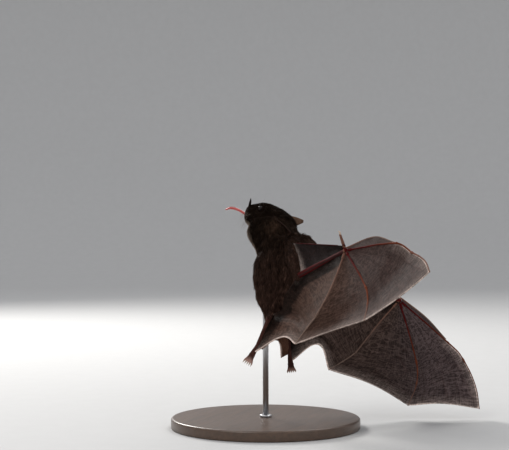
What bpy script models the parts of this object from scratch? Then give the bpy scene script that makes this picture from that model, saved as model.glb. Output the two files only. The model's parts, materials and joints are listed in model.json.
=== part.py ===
"""Hovering nectar bat on a plain display stand: a still, life-size museum model.

The animal is laid out in its own body frame, in millimetres: +X to its left, +Y to its back,
+Z towards its head, with the origin midway between the shoulders. An empty banks and pitches
that frame and lifts it over the stand. The world origin is the centre of the base's underside.
"""
import bpy
import bmesh
from math import cos, pi, radians, sin
from mathutils import Matrix, Vector

MM = 0.001
GAP = 0.3                      # clearance between neighbouring pieces, mm

# ---- pose of the body frame -------------------------------------------------------------
BANK = radians(23.0)           # left side up
PITCH = radians(7.5)           # head end leans forward, to -Y
SHOULDERS_AT = (-12.0, 10.0, 84.0)

# ---- skeleton ---------------------------------------------------------------------------
SHOULDER = (8.0, 0.0, 0.0)     # left side; X is mirrored for the right
HIP = (4.5, -6.0, -36.5)
BONES = (                      # outer joint, inner joint, length in mm
    ("elbow", "shoulder", 22.0),
    ("wrist", "elbow", 35.0),
    ("thumb_tip", "wrist", 9.5),
    ("knuckle3", "wrist", 33.5),
    ("joint3", "knuckle3", 12.0),
    ("tip3", "joint3", 26.0),
    ("knuckle4", "wrist", 32.0),
    ("joint4", "knuckle4", 10.5),
    ("tip4", "joint4", 12.5),
    ("knuckle5", "wrist", 32.5),
    ("joint5", "knuckle5", 8.5),
    ("tip5", "joint5", 9.5),
    ("knee", "hip", 13.0),
    ("ankle", "knee", 13.5),
    ("toes", "ankle", 11.3),
    ("calcar_tip", "ankle", 5.0),
)
# Each bone's direction, in degrees: from straight outwards towards the back, then up
# towards the head.
BONE_ANGLES = {
    "left": {
        "elbow": (44, -64), "wrist": (53, 1.5), "thumb_tip": (-32, 66),
        "knuckle3": (55, -13), "joint3": (53, -38), "tip3": (31, -40),
        "knuckle4": (38, -51), "joint4": (20, -62), "tip4": (0, -54),
        "knuckle5": (-70, -67), "joint5": (-124, -33), "tip5": (-119, -38),
        "knee": (-3, -13), "ankle": (-94, -66), "toes": (-63, -62), "calcar_tip": (175, -10),
    },
    "right": {
        "elbow": (71, -40), "wrist": (53, -6), "thumb_tip": (-57, 26),
        "knuckle3": (39, -28), "joint3": (39, -36), "tip3": (23, -61),
        "knuckle4": (11, -54), "joint4": (-14, -65), "tip4": (-47, -50),
        "knuckle5": (-85, -46), "joint5": (-106, -37), "tip5": (-133, -35),
        "knee": (-8, 6), "ankle": (160, -64), "toes": (-8, -44), "calcar_tip": (-125, -35),
    },
}
SIDES = {"left": 1.0, "right": -1.0}

# ---- trunk and neck: level, centre towards the back, half depth, half width --------------
TRUNK_SECTIONS = (
    (6.5, -7.2, 10.6, 8.2),
    (1.5, -6.2, 11.4, 9.4),
    (-5.0, -7.0, 12.2, 9.8),
    (-12.0, -7.6, 12.2, 9.8),
    (-17.5, -8.1, 11.0, 9.2),
    (-22.5, -8.5, 9.8, 8.4),
    (-28.0, -8.2, 7.8, 7.2),
    (-32.5, -8.4, 6.0, 5.8),
    (-37.0, -8.8, 4.4, 4.4),
    (-41.0, -9.0, 2.2, 2.6),
)
NECK_SECTIONS = (
    (19.0, -11.6, 9.2, 5.6),
    (15.5, -12.0, 11.5, 6.6),
    (12.0, -11.2, 12.5, 7.2),
    (8.0, -9.2, 12.6, 7.8),
    (4.0, -7.6, 12.0, 8.6),
    (0.0, -7.0, 11.2, 9.0),
    (-5.0, -7.2, 8.0, 6.5),
)
COLLAR_LEVEL = 3.5             # cut between trunk and neck

# ---- head frame: +X to the nose, +Y to the left, +Z to the crown -------------------------
HEAD_AT = (0.0, -9.5, 19.5)    # middle of the braincase, in the body frame
HEAD_PITCH = radians(21.0)     # nose up; this and the roll are against the world, not the body
HEAD_ROLL = radians(-10.0)     # left side down
HEAD_YAW = radians(3.0)        # towards the left
HEAD_SECTIONS = (              # station, crown height, throat height, half width
    (-10.5, 0.2, -4.2, 2.8),
    (-9.0, 2.2, -6.0, 4.8),
    (-6.0, 3.7, -7.4, 6.3),
    (-2.0, 4.7, -8.2, 6.9),
    (2.0, 5.3, -8.6, 6.5),
    (5.0, 5.4, -9.0, 5.6),
    (8.0, 4.6, -10.0, 4.5),
    (11.0, 2.8, -9.6, 3.6),
    (13.0, 1.5, -8.5, 2.9),
    (14.3, 0.4, -6.9, 2.1),
    (14.9, -1.0, -5.1, 1.2),
)
MOUTH_HEIGHT = -4.2
MOUTH_CORNER = 8.4             # station of the corner of the mouth
EYE_AT = (7.1, 3.25, 2.1)
EYE_RADIUS = 1.15
EAR_BASE = {"left": (-2.4, 6.3, -3.4), "right": (-2.8, 5.3, -4.4)}
EAR_LENGTH = 13.0
EAR_WIDTH = 8.0
EAR_BACK = {"left": radians(83.0), "right": radians(68.0)}       # how far they are laid back from upright
EAR_SPLAY = {"left": radians(28.0), "right": radians(48.0)}
NOSELEAF_AT = (13.9, 0.0, -0.2)
NOSELEAF_HEIGHT = 4.2
TONGUE_PATH = ((9.5, 0.0, -4.3), (14.5, 0.2, -4.3), (18.0, 0.6, -3.6), (22.0, 1.0, -3.9), (24.5, 1.2, -5.5))
TONGUE_RADIUS = 0.75

# ---- limbs ------------------------------------------------------------------------------
SHOULDER_LUMP = {"left": ((6.0, 1.0, 1.0), 4.6), "right": ((6.0, 3.2, 3.6), 6.8)}
UPPER_ARM_RADII = (3.6, 1.9)
FOREARM_RADII = (1.7, 1.4, 1.0)
CARPUS_RADIUS = 1.5
DIGIT_START = 2.15             # how far from the wrist's centre the finger bones begin
DIGIT_RADII = (0.5, 0.42, 0.35)
TIP3_BOWS = (1.2, 1.6)         # how far the last bone of the third finger bows forwards, at each third
DIGIT5_BOW = {"left": 1.3, "right": -0.6}  # how far the fifth metacarpal bows forwards
THUMB_RADII = (0.75, 0.65, 0.4)
DIGIT2_BOW = {"left": 5.1, "right": 2.3}   # how far the second finger stands off the third
DIGIT2_REACH = 0.93            # how far along the third metacarpal it ends
DIGIT2_STANDOFF = 1.4          # its distance from the third finger at both ends
THIGH_RADII = (2.3, 1.5)
SHIN_RADII = (1.3, 0.8)
FOOT_RADII = (1.0, 1.3, 1.25)
FOOT_FACES = (1.0, 0.3, -0.4)  # the way that the backs of the feet face
SOLE_LENGTH = 0.66             # how far along the foot the toes begin
TOE_COUNT = 5
TOE_RADIUS = 0.35
TOE_LENGTH = 3.6
ANKLE_CLEARANCE = 1.9          # the membranes stop this far from the ankle's centre
THUMB_WEB = 0.24                # how far along the thumb the forward membrane begins
FLANK_FOOT = 0.42              # how far along the foot the flank membrane ends
TAIL_TIP = (0.0, -8.6, -46.5)
TAIL_RADII = (0.8, 0.4)

# ---- membranes --------------------------------------------------------------------------
MEMBRANE_THICKNESS = 0.55
FLANK_SAG = {"left": 6.8, "right": 11.0}   # how far the free edge is drawn in, towards the elbow
MIDDLE_SAG = 2.0
OUTER_SAG = {"left": 0.6, "right": 2.2}
TAIL_SAG = 7.4
SHEET_START = 0.3              # how far along its first step a sheet begins
FLANK_POINTS = ((4.2, -4.6, -26.0), (3.4, -6.2, -31.5))
FORWARD_EDGE_ROOT = {"left": (6.5, -2.2, 1.8), "right": (6.5, 3.0, 5.0)}
RUMP = (0.0, -7.4, -35.2)

# ---- stand ------------------------------------------------------------------------------
BASE_RADIUS = 45.0
BASE_HEIGHT = 5.0
BASE_BEVEL = 0.8
ROD_RADIUS = 1.4
ROD_TOP = (0.0, -14.5, -31.0)  # where the rod meets the lower belly, in the body frame

COLOURS = {                    # base colour, roughness
    "fur": ((0.075, 0.055, 0.045), 0.9),
    "wing": ((0.095, 0.07, 0.06), 0.6),
    "bone": ((0.22, 0.07, 0.045), 0.5),
    "ear": ((0.16, 0.10, 0.075), 0.7),
    "foot": ((0.10, 0.055, 0.045), 0.6),
    "eye": ((0.005, 0.004, 0.004), 0.08),
    "tongue": ((0.45, 0.03, 0.03), 0.3),
    "stand_wood": ((0.03, 0.028, 0.026), 0.5),
    "stand_steel": ((0.45, 0.45, 0.46), 0.3),
}

for old in list(bpy.data.objects):
    bpy.data.objects.remove(old, do_unlink=True)
BODY = bpy.data.objects.new("bat_pose", None)


# ---- helpers ----------------------------------------------------------------------------
def material(key, name):
    colour, roughness = COLOURS[key]
    made = bpy.data.materials.new(name)
    made.use_nodes = True
    shader = made.node_tree.nodes["Principled BSDF"]
    shader.inputs["Base Color"].default_value = (*colour, 1.0)
    shader.inputs["Roughness"].default_value = roughness
    shader.inputs["Metallic"].default_value = 1.0 if key == "stand_steel" else 0.0
    return made


def add_piece(name, bm, look, parent=BODY):
    """Turn a bmesh in millimetres into a named object with its own material."""
    bmesh.ops.scale(bm, vec=(MM, MM, MM), verts=bm.verts)
    bmesh.ops.recalc_face_normals(bm, faces=bm.faces)
    if bm.calc_volume(signed=True) < 0:
        bmesh.ops.reverse_faces(bm, faces=bm.faces)
    mesh = bpy.data.meshes.new(name)
    bm.to_mesh(mesh)
    bm.free()
    obj = bpy.data.objects.new(name, mesh)
    bpy.context.scene.collection.objects.link(obj)
    obj.parent = parent
    if look is None:
        obj.hide_render = True
        obj.display_type = "WIRE"
    else:
        mesh.materials.append(material(look, name + "_finish"))
        mesh.shade_smooth()
    return obj


def cut(obj, cutter, operation="DIFFERENCE"):
    boolean = obj.modifiers.new(cutter.name, "BOOLEAN")
    boolean.operation = operation
    boolean.solver = "EXACT"
    boolean.object = cutter


def ring(bm, centre, across, up, rx, ry, count):
    return [
        bm.verts.new(centre + across * (rx * cos(2 * pi * i / count)) + up * (ry * sin(2 * pi * i / count)))
        for i in range(count)
    ]


def skin_rings(bm, rings):
    """Join equal rings into a closed body with a flat cap at each end."""
    for low, high in zip(rings, rings[1:]):
        count = len(low)
        for i in range(count):
            j = (i + 1) % count
            bm.faces.new((low[i], low[j], high[j], high[i]))
    bm.faces.new(rings[0][::-1])
    bm.faces.new(rings[-1])


def spline(points, steps):
    """A smooth path through the points, steps samples to each span, with no overshoot on short ones."""
    pts = [Vector(p) for p in points]
    directions = [(pts[min(i + 1, len(pts) - 1)] - pts[max(i - 1, 0)]).normalized() for i in range(len(pts))]
    path = []
    for p, q, leave, arrive in zip(pts, pts[1:], directions, directions[1:]):
        span = (q - p).length
        for k in range(steps):
            t = k / steps
            path.append(p * (2 * t ** 3 - 3 * t ** 2 + 1) + q * (3 * t ** 2 - 2 * t ** 3)
                        + leave * (span * (t ** 3 - 2 * t ** 2 + t)) + arrive * (span * (t ** 3 - t ** 2)))
    path.append(pts[-1])
    return path


def along(path, fraction):
    """The point at this fraction of a path's length."""
    spans = [(b - a).length for a, b in zip(path, path[1:])]
    left = fraction * sum(spans)
    for a, b, span in zip(path, path[1:], spans):
        if left <= span:
            return a.lerp(b, left / span)
        left -= span
    return path[-1].copy()


def blend_list(values, fraction):
    """Read a short list of values as a polyline over 0..1."""
    place = min(fraction, 0.9999) * (len(values) - 1)
    k = int(place)
    return values[k] + (values[k + 1] - values[k]) * (place - k)


def tube_mesh(path, radii, sides=6, grow=0.0):
    """A round-ended tube; grow widens and lengthens it, for a cutter."""
    path = [Vector(p) for p in path]
    first = (path[0] - path[1]).normalized()
    last = (path[-1] - path[-2]).normalized()
    path[0] = path[0] + first * grow
    path[-1] = path[-1] + last * grow
    bm = bmesh.new()
    rings = []
    up = None
    for i, point in enumerate(path):
        before = path[max(i - 1, 0)]
        after = path[min(i + 1, len(path) - 1)]
        tangent = (after - before).normalized()
        if up is None:
            up = tangent.orthogonal().normalized()
        up = (up - tangent * up.dot(tangent)).normalized()
        across = tangent.cross(up)
        radius = blend_list(radii, i / (len(path) - 1)) + grow
        if i == 0:
            rings.append(ring(bm, point + first * radius * 0.5, across, up, radius * 0.6, radius * 0.6, sides))
        rings.append(ring(bm, point, across, up, radius, radius, sides))
        if i == len(path) - 1:
            rings.append(ring(bm, point + last * radius * 0.5, across, up, radius * 0.6, radius * 0.6, sides))
    skin_rings(bm, rings)
    return bm


def section_loft(sections, grow=0.0, sides=18):
    """Elliptical sections across the body, given from the head end down."""
    bm = bmesh.new()
    rings = []
    last = len(sections) - 1
    for i, (level, centre, half_depth, half_width) in enumerate(sections):
        level += grow if i == 0 else -grow if i == last else 0.0
        rings.append(ring(bm, Vector((0, centre, level)), Vector((1, 0, 0)), Vector((0, 1, 0)),
                          half_width + grow, half_depth + grow, sides))
    skin_rings(bm, rings)
    return bm


def mirrored(point, side):
    return Vector((SIDES[side] * point[0], point[1], point[2]))


def joints(side):
    """Every joint of one side's skeleton, worked out along its bones."""
    places = {"shoulder": mirrored(SHOULDER, side), "hip": mirrored(HIP, side)}
    for outer, inner, length in BONES:
        out, up = (radians(a) for a in BONE_ANGLES[side][outer])
        step = Vector((SIDES[side] * cos(up) * cos(out), cos(up) * sin(out), sin(up)))
        places[outer] = places[inner] + step * length
    return places


def head_matrix():
    """Head frame to body frame. Nose to -Y in the world before yaw, pitch and roll."""
    facing = Matrix(((0, 1, 0), (-1, 0, 0), (0, 0, 1))).to_4x4()
    turn = Matrix.Rotation(HEAD_YAW, 4, "Z") @ facing
    turn = turn @ Matrix.Rotation(-HEAD_PITCH, 4, "Y") @ Matrix.Rotation(HEAD_ROLL, 4, "X")
    world_to_body = body_rotation().inverted()
    return Matrix.Translation(Vector(HEAD_AT)) @ world_to_body @ turn


def body_rotation():
    return Matrix.Rotation(-BANK, 4, "Y") @ Matrix.Rotation(PITCH, 4, "X")


# ---- body, neck and head ----------------------------------------------------------------
def head_mesh(grow=0.0):
    bm = bmesh.new()
    rings = []
    last = len(HEAD_SECTIONS) - 1
    for i, (station, crown, throat, half_width) in enumerate(HEAD_SECTIONS):
        station += -grow if i == 0 else grow if i == last else 0.0
        centre = Vector((station, 0, (crown + throat) / 2))
        rings.append(ring(bm, centre, Vector((0, 1, 0)), Vector((0, 0, 1)),
                          half_width + grow, (crown - throat) / 2 + grow, 16))
    skin_rings(bm, rings)
    bmesh.ops.transform(bm, matrix=head_matrix(), verts=bm.verts)
    return bm


def block(low, high, matrix=Matrix()):
    bm = bmesh.new()
    bmesh.ops.create_cube(bm, size=1.0)
    low, high = Vector(low), Vector(high)
    bmesh.ops.scale(bm, vec=high - low, verts=bm.verts)
    bmesh.ops.translate(bm, vec=(low + high) / 2, verts=bm.verts)
    bmesh.ops.transform(bm, matrix=matrix, verts=bm.verts)
    return bm


def ball(centre, radius, segments=12, stretch=(1, 1, 1)):
    bm = bmesh.new()
    bmesh.ops.create_uvsphere(bm, u_segments=segments, v_segments=segments // 2 + 1, radius=radius)
    bmesh.ops.scale(bm, vec=stretch, verts=bm.verts)
    bmesh.ops.translate(bm, vec=Vector(centre), verts=bm.verts)
    return bm


def tongue_path():
    """Out of the front of the mouth, level and then drooping at the tip, in the head frame."""
    return spline(TONGUE_PATH, 2)


def build_core():
    """Trunk, neck, head and lower jaw, parted by thin cuts."""
    frame = head_matrix()
    trunk = add_piece("trunk", section_loft(TRUNK_SECTIONS), "fur")
    neck = add_piece("neck", section_loft(NECK_SECTIONS), "fur")
    head = add_piece("head", head_mesh(), "fur")

    far = 60.0
    collar_top = add_piece("collar_top_cutter", block((-far, -far, COLLAR_LEVEL), (far, far, far)), None)
    collar_low = add_piece("collar_low_cutter", block((-far, -far, -far), (far, far, COLLAR_LEVEL + GAP)), None)
    cut(trunk, collar_top)
    cut(neck, collar_low)
    cut(neck, add_piece("head_space_cutter", head_mesh(GAP), None))

    jaw_low = (MOUTH_CORNER, -8, -12)
    jaw_high = (20, 8, MOUTH_HEIGHT)
    jaw = add_piece("lower_jaw", head_mesh(), "fur")
    cut(jaw, add_piece("jaw_cutter", block(jaw_low, jaw_high, frame), None), "INTERSECT")
    jaw_space = block((jaw_low[0] - GAP, -9, -12), (21, 9, MOUTH_HEIGHT + GAP), frame)
    cut(head, add_piece("jaw_space_cutter", jaw_space, None))

    path = [frame @ p for p in tongue_path()]
    add_piece("tongue", tube_mesh(path, (TONGUE_RADIUS, TONGUE_RADIUS, 0.6, 0.4), 8), "tongue")
    tongue_space = add_piece("tongue_cutter", tube_mesh(path, (TONGUE_RADIUS,) * 2, 8, GAP), None)
    cut(head, tongue_space)
    cut(jaw, tongue_space)
    return head


def build_eyes(head):
    frame = head_matrix()
    for side, sign in SIDES.items():
        centre = frame @ Vector((EYE_AT[0], sign * EYE_AT[1], EYE_AT[2]))
        add_piece("eye_" + side, ball(centre, EYE_RADIUS), "eye")
        cut(head, add_piece("socket_cutter_" + side, ball(centre, EYE_RADIUS + GAP), None))


def leaf_mesh(length, width, thickness, cup, rows=7, columns=4):
    """A pointed leaf from its root at the origin along +X, cupped about its long axis."""
    grid = []
    for i in range(rows + 1):
        t = i / rows
        half = width / 2 * (sin(pi * (0.22 + 0.74 * t)) ** 0.8) * (1 - 0.25 * t)
        rise = cup * sin(pi * min(1.0, 0.25 + 0.75 * t))
        across = [2 * j / columns - 1 for j in range(columns + 1)]
        grid.append([Vector((length * t, half * s, rise * (s * s - 0.5))) for s in across])
    return thick_sheet(grid, thickness)


def axes_matrix(origin, forward, up):
    """A frame with +X forward and +Z as near to up as it can be."""
    forward = forward.normalized()
    side = up.cross(forward).normalized()
    up = forward.cross(side)
    return Matrix.Translation(origin) @ Matrix((forward, side, up)).transposed().to_4x4()


def build_ears_and_leaf(neck_space):
    frame = head_matrix()
    head_space = bpy.data.objects["head_space_cutter"]
    for side, sign in SIDES.items():
        back, splay = EAR_BACK[side], EAR_SPLAY[side]
        reach = Vector((-sin(back) * cos(splay), sign * sin(splay), cos(back) * cos(splay)))
        station, out, height = EAR_BASE[side]
        root = Vector((station, sign * out, height)) - reach * 1.5
        opening = Vector((0.15, sign, 0.25))
        place = frame @ axes_matrix(root, reach, -opening)
        ear = leaf_mesh(EAR_LENGTH + 1.5, EAR_WIDTH, 0.6, -2.2)
        bmesh.ops.transform(ear, matrix=place, verts=ear.verts)
        ear = add_piece("ear_" + side, ear, "ear")
        cut(ear, head_space)
        cut(ear, neck_space)
    place = frame @ axes_matrix(Vector(NOSELEAF_AT), Vector((0.1, 0, 1)), Vector((-1, 0, 0)))
    leaf = leaf_mesh(NOSELEAF_HEIGHT, 3.0, 0.6, 0.4, 5, 4)
    bmesh.ops.transform(leaf, matrix=place, verts=leaf.verts)
    leaf = add_piece("noseleaf", leaf, "ear")
    cut(leaf, head_space)


# ---- limbs ------------------------------------------------------------------------------
def from_joint(start, end, distance):
    return start + (end - start).normalized() * distance


def finger(at, digit, first_bow=0.0, last_bows=(0.0, 0.0)):
    """One finger's centre line: nine steps from the wrist, three to each bone.

    A bow is how far a bone's middle, or each third of it, lies towards the leading edge.
    """
    corners = [at["wrist"], at["knuckle" + digit], at["joint" + digit], at["tip" + digit]]
    path = spline(corners, 3)
    plane = (at["tip3"] - at["wrist"]).cross(at["tip5"] - at["wrist"]).normalized()
    for first, bows in ((0, (first_bow, first_bow)), (6, last_bows)):
        bone = path[first + 3] - path[first]
        forward = bone.cross(plane).normalized()
        if forward.dot(at["tip3"] - at["tip5"]) < 0:
            forward = -forward
        for step, bow in enumerate(bows, 1):
            path[first + step] += forward * bow * 0.9
    return path


def wing_paths(side):
    """Centre lines of the wing's bones, each from the body outwards."""
    at = joints(side)
    wrist = at["wrist"]
    paths = {
        "forearm": [from_joint(at["elbow"], wrist, 2.4), at["elbow"].lerp(wrist, 0.5),
                    from_joint(wrist, at["elbow"], CARPUS_RADIUS + GAP + 0.7)],
        "thumb": spline((wrist, wrist.lerp(at["thumb_tip"], 0.5), at["thumb_tip"]), 2),
        "digit3": finger(at, "3", 0.0, TIP3_BOWS),
        "digit4": finger(at, "4"),
        "digit5": finger(at, "5", DIGIT5_BOW[side]),
    }
    along3 = at["knuckle3"] - wrist
    away = -(at["knuckle4"] - wrist)
    away = (away - along3 * away.dot(along3) / along3.length_squared).normalized()
    middle = wrist + along3 * 0.5 + away * DIGIT2_BOW[side]
    root = wrist + away * DIGIT2_STANDOFF
    paths["digit2"] = spline((root, middle, wrist + along3 * DIGIT2_REACH + away * DIGIT2_STANDOFF), 4)
    return at, paths


def build_wing_bones(side, body_cutters):
    at, paths = wing_paths(side)
    pieces = {}
    cutters = {}

    lump, lump_radius = SHOULDER_LUMP[side]
    arm_path = [mirrored(lump, side), at["shoulder"].lerp(at["elbow"], 0.45), at["elbow"]]
    arm_radii = (lump_radius, *UPPER_ARM_RADII)
    pieces["upper_arm"] = add_piece("upper_arm_" + side, tube_mesh(arm_path, arm_radii, 12), "fur")
    cutters["upper_arm"] = tube_mesh(arm_path, arm_radii, 12, GAP)
    forearm_path = [from_joint(at["elbow"], at["wrist"], UPPER_ARM_RADII[1] * 1.5 + GAP + 0.9), *paths["forearm"][1:]]
    pieces["forearm"] = add_piece("forearm_" + side, tube_mesh(forearm_path, FOREARM_RADII, 8), "bone")
    cutters["forearm"] = tube_mesh([at["elbow"], *paths["forearm"][1:]], FOREARM_RADII, 8, GAP)
    pieces["carpus"] = add_piece("carpus_" + side, ball(at["wrist"], CARPUS_RADIUS, 10), "bone")
    cutters["carpus"] = ball(at["wrist"], CARPUS_RADIUS + GAP, 10)
    for digit, radii in (("thumb", THUMB_RADII), ("digit2", DIGIT_RADII[1:]), ("digit3", DIGIT_RADII),
                         ("digit4", DIGIT_RADII), ("digit5", DIGIT_RADII)):
        path = [from_joint(paths[digit][0], paths[digit][1], DIGIT_START), *paths[digit][1:]]
        name = digit + "_" + side
        pieces[digit] = add_piece(name, tube_mesh(path, radii), "bone")
        cutters[digit] = tube_mesh(path, radii, 6, GAP)
    cutters = {key: add_piece(key + "_cutter_" + side, bm, None) for key, bm in cutters.items()}
    for cutter in body_cutters:
        cut(pieces["upper_arm"], cutter)
    cut(pieces["forearm"], cutters["upper_arm"])
    return at, paths, cutters


def build_leg(side, body_cutters):
    at = joints(side)
    knee, ankle = at["knee"], at["ankle"]
    cutters = []
    thigh_path = [at["hip"], at["hip"].lerp(knee, 0.5), from_joint(knee, at["hip"], 0.3)]
    shin_path = [from_joint(knee, ankle, 2.4), from_joint(ankle, knee, 1.2)]
    thigh = add_piece("thigh_" + side, tube_mesh(thigh_path, THIGH_RADII, 8), "fur")
    shin = add_piece("shin_" + side, tube_mesh(shin_path, SHIN_RADII, 8), "foot")
    for cutter in body_cutters:
        cut(thigh, cutter)
    thigh_cutter = add_piece("thigh_cutter_" + side, tube_mesh(thigh_path, THIGH_RADII, 8, GAP), None)
    cut(shin, thigh_cutter)
    cutters.append(thigh_cutter)
    shin_line = [knee, ankle]
    cutters.append(add_piece("shin_cutter_" + side, tube_mesh(shin_line, SHIN_RADII, 8, GAP), None))

    toes = at["toes"]
    sole_end = ankle.lerp(toes, SOLE_LENGTH)
    foot_path = [from_joint(ankle, toes, 0.9), ankle.lerp(toes, 0.4), sole_end]
    foot = add_piece("foot_" + side, tube_mesh(foot_path, FOOT_RADII, 8), "foot")
    forward = (toes - ankle).normalized()
    across = forward.cross(Vector(FOOT_FACES)).normalized()
    curl = forward.cross(across)
    for k in range(TOE_COUNT):
        spread = k - (TOE_COUNT - 1) / 2
        root = sole_end + across * spread * 0.52
        middle = root + forward * TOE_LENGTH * 0.6 + across * spread * 0.35
        tip = middle + forward * TOE_LENGTH * 0.4 + across * spread * 0.15 + curl * 0.8
        toe = tube_mesh([root, middle, tip], (TOE_RADIUS, TOE_RADIUS, 0.25), 5)
        cut(foot, add_piece("toe_union_%s_%d" % (side, k + 1), toe, None), "UNION")
    cutters.append(add_piece("ankle_cutter_" + side, ball(ankle, ANKLE_CLEARANCE, 10), None))
    cutters.append(add_piece("foot_cutter_" + side, tube_mesh(foot_path, FOOT_RADII, 8, GAP), None))
    return cutters


# ---- membranes --------------------------------------------------------------------------
def subdivided(points, counts):
    """The corners of a path with this many steps between each pair."""
    points = [Vector(p) for p in points]
    path = [points[0]]
    for a, b, count in zip(points, points[1:], counts):
        path += [a.lerp(b, (k + 1) / count) for k in range(count)]
    return path


def panel_mesh(edge_a, edge_b, sag, billow, columns, pull=None):
    """A thin sheet between two edges of equally many points, which start together or opposite.

    sag draws the free edge in towards the pull point, or else towards the start; billow lifts
    the middle of the sheet.
    """
    apex = (edge_a[0] + edge_b[0]) / 2
    pull = pull or apex
    rows = len(edge_a) - 1
    overall = (edge_a[-1] - apex).cross(edge_b[-1] - apex).normalized()
    grid = []
    for i in range(rows + 1):
        t = i / rows
        a, b = edge_a[i], edge_b[i]
        if i == 0:
            a, b = a.lerp(edge_a[1], SHEET_START), b.lerp(edge_b[1], SHEET_START)
        inward = (pull - (a + b) / 2).normalized()
        row = []
        for j in range(columns + 1):
            s = j / columns
            arch = 4 * s * (1 - s)
            row.append(a.lerp(b, s) + inward * (sag * arch ** 1.5 * t * t) + overall * (billow * arch * sin(pi * t * 0.75)))
        grid.append(row)
    return thick_sheet(grid, MEMBRANE_THICKNESS)


def thick_sheet(grid, thickness):
    """Give a grid of points a thickness, half to each side along the surface's own normals."""
    rows, columns = len(grid) - 1, len(grid[0]) - 1
    flat = bmesh.new()
    points = [[flat.verts.new(p) for p in row] for row in grid]
    for i in range(rows):
        for j in range(columns):
            flat.faces.new((points[i][j], points[i + 1][j], points[i + 1][j + 1], points[i][j + 1]))
    flat.normal_update()
    bm = bmesh.new()
    top, low = ([[bm.verts.new(v.co + v.normal * thickness * part) for v in row] for row in points]
                for part in (0.5, -0.5))
    flat.free()
    for i in range(rows):
        for j in range(columns):
            bm.faces.new((top[i][j], top[i + 1][j], top[i + 1][j + 1], top[i][j + 1]))
            bm.faces.new((low[i][j], low[i][j + 1], low[i + 1][j + 1], low[i + 1][j]))
        bm.faces.new((top[i][0], low[i][0], low[i + 1][0], top[i + 1][0]))
        bm.faces.new((top[i][-1], top[i + 1][-1], low[i + 1][-1], low[i][-1]))
    for j in range(columns):
        bm.faces.new((top[0][j], top[0][j + 1], low[0][j + 1], low[0][j]))
        bm.faces.new((top[-1][j], low[-1][j], low[-1][j + 1], top[-1][j + 1]))
    return bm


def build_wing_membranes(side, at, paths, wing_cutters, body_cutters, leg_cutters):
    sign = SIDES[side]
    wrist = at["wrist"]
    forward_root = mirrored(FORWARD_EDGE_ROOT[side], side)
    flank = [mirrored(p, side) for p in FLANK_POINTS]
    flank_end = at["ankle"].lerp(at["toes"], FLANK_FOOT)
    inner = subdivided([wrist, at["elbow"], *flank, at["knee"], at["ankle"], flank_end], (3, 2, 1, 1, 1, 1))
    metacarpal3 = subdivided([wrist, *paths["digit3"][1:4]], (2, 2, 2))
    digit2 = [along(paths["digit2"], k / 6) for k in range(7)]
    forearm = subdivided([wrist, at["elbow"]], (5,))
    forward = subdivided([wrist.lerp(at["thumb_tip"], THUMB_WEB), forward_root], (5,))
    near_body = ("upper_arm", "forearm", "carpus")
    panels = {                 # two edges, sag, billow, columns, the bones it clears
        "forearm_web": (forearm, forward, 0.0, 1.0, 4, (*near_body, "thumb")),
        "leading_web": (metacarpal3, digit2, 0.0, 0.0, 2, ("carpus", "digit2", "digit3")),
        "outer_web": (paths["digit3"], paths["digit4"], OUTER_SAG[side], 2.0, 5, ("carpus", "digit3", "digit4")),
        "middle_web": (paths["digit4"], paths["digit5"], MIDDLE_SAG, 2.5, 5, ("carpus", "digit4", "digit5")),
        "flank_web": (paths["digit5"], inner, FLANK_SAG[side], 2.5, 6, (*near_body, "digit5")),
    }
    for name, (edge_a, edge_b, sag, billow, columns, bones) in panels.items():
        pull = at["elbow"] if name == "flank_web" else None
        sheet = panel_mesh(edge_a, edge_b, sag, billow * sign, columns, pull)
        sheet = add_piece(name + "_" + side, sheet, "wing")
        for bone in bones:
            cut(sheet, wing_cutters[bone])
        if name in ("forearm_web", "flank_web"):
            for cutter in body_cutters:
                cut(sheet, cutter)
        if name == "flank_web":
            for cutter in leg_cutters:
                cut(sheet, cutter)


def build_tail(left, right, body_cutters, leg_cutters):
    rump = Vector(RUMP)
    tail_path = [rump, Vector(TAIL_TIP)]
    tail = add_piece("tail", tube_mesh(tail_path, TAIL_RADII, 8), "foot")
    tail_cutter = add_piece("tail_cutter", tube_mesh(tail_path, TAIL_RADII, 8, GAP), None)
    edges = [subdivided([at["knee"], at["ankle"], at["calcar_tip"]], (3, 1)) for at in (left, right)]
    sheet = add_piece("tail_web", panel_mesh(edges[0], edges[1], TAIL_SAG, 1.0, 8), "wing")
    for cutter in body_cutters:
        cut(tail, cutter)
    for cutter in (*body_cutters, *leg_cutters, tail_cutter):
        cut(sheet, cutter)


# ---- stand ------------------------------------------------------------------------------
def build_stand(body_cutter):
    bm = bmesh.new()
    bmesh.ops.create_cone(bm, cap_ends=True, segments=40, radius1=BASE_RADIUS, radius2=BASE_RADIUS,
                          depth=BASE_HEIGHT)
    bmesh.ops.translate(bm, vec=(0, 0, BASE_HEIGHT / 2), verts=bm.verts)
    base = add_piece("stand_base", bm, "stand_wood", None)
    bevel = base.modifiers.new("edge", "BEVEL")
    bevel.width = BASE_BEVEL * MM
    bevel.segments = 1
    bevel.angle_limit = radians(40)

    top = BODY.matrix_world @ (Vector(ROD_TOP) * MM) / MM
    bm = bmesh.new()
    low = BASE_HEIGHT + GAP
    bmesh.ops.create_cone(bm, cap_ends=True, segments=12, radius1=ROD_RADIUS, radius2=ROD_RADIUS,
                          depth=top.z - low)
    bmesh.ops.translate(bm, vec=(top.x, top.y, (top.z + low) / 2), verts=bm.verts)
    rod = add_piece("stand_rod", bm, "stand_steel", None)
    cut(rod, body_cutter)


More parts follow.
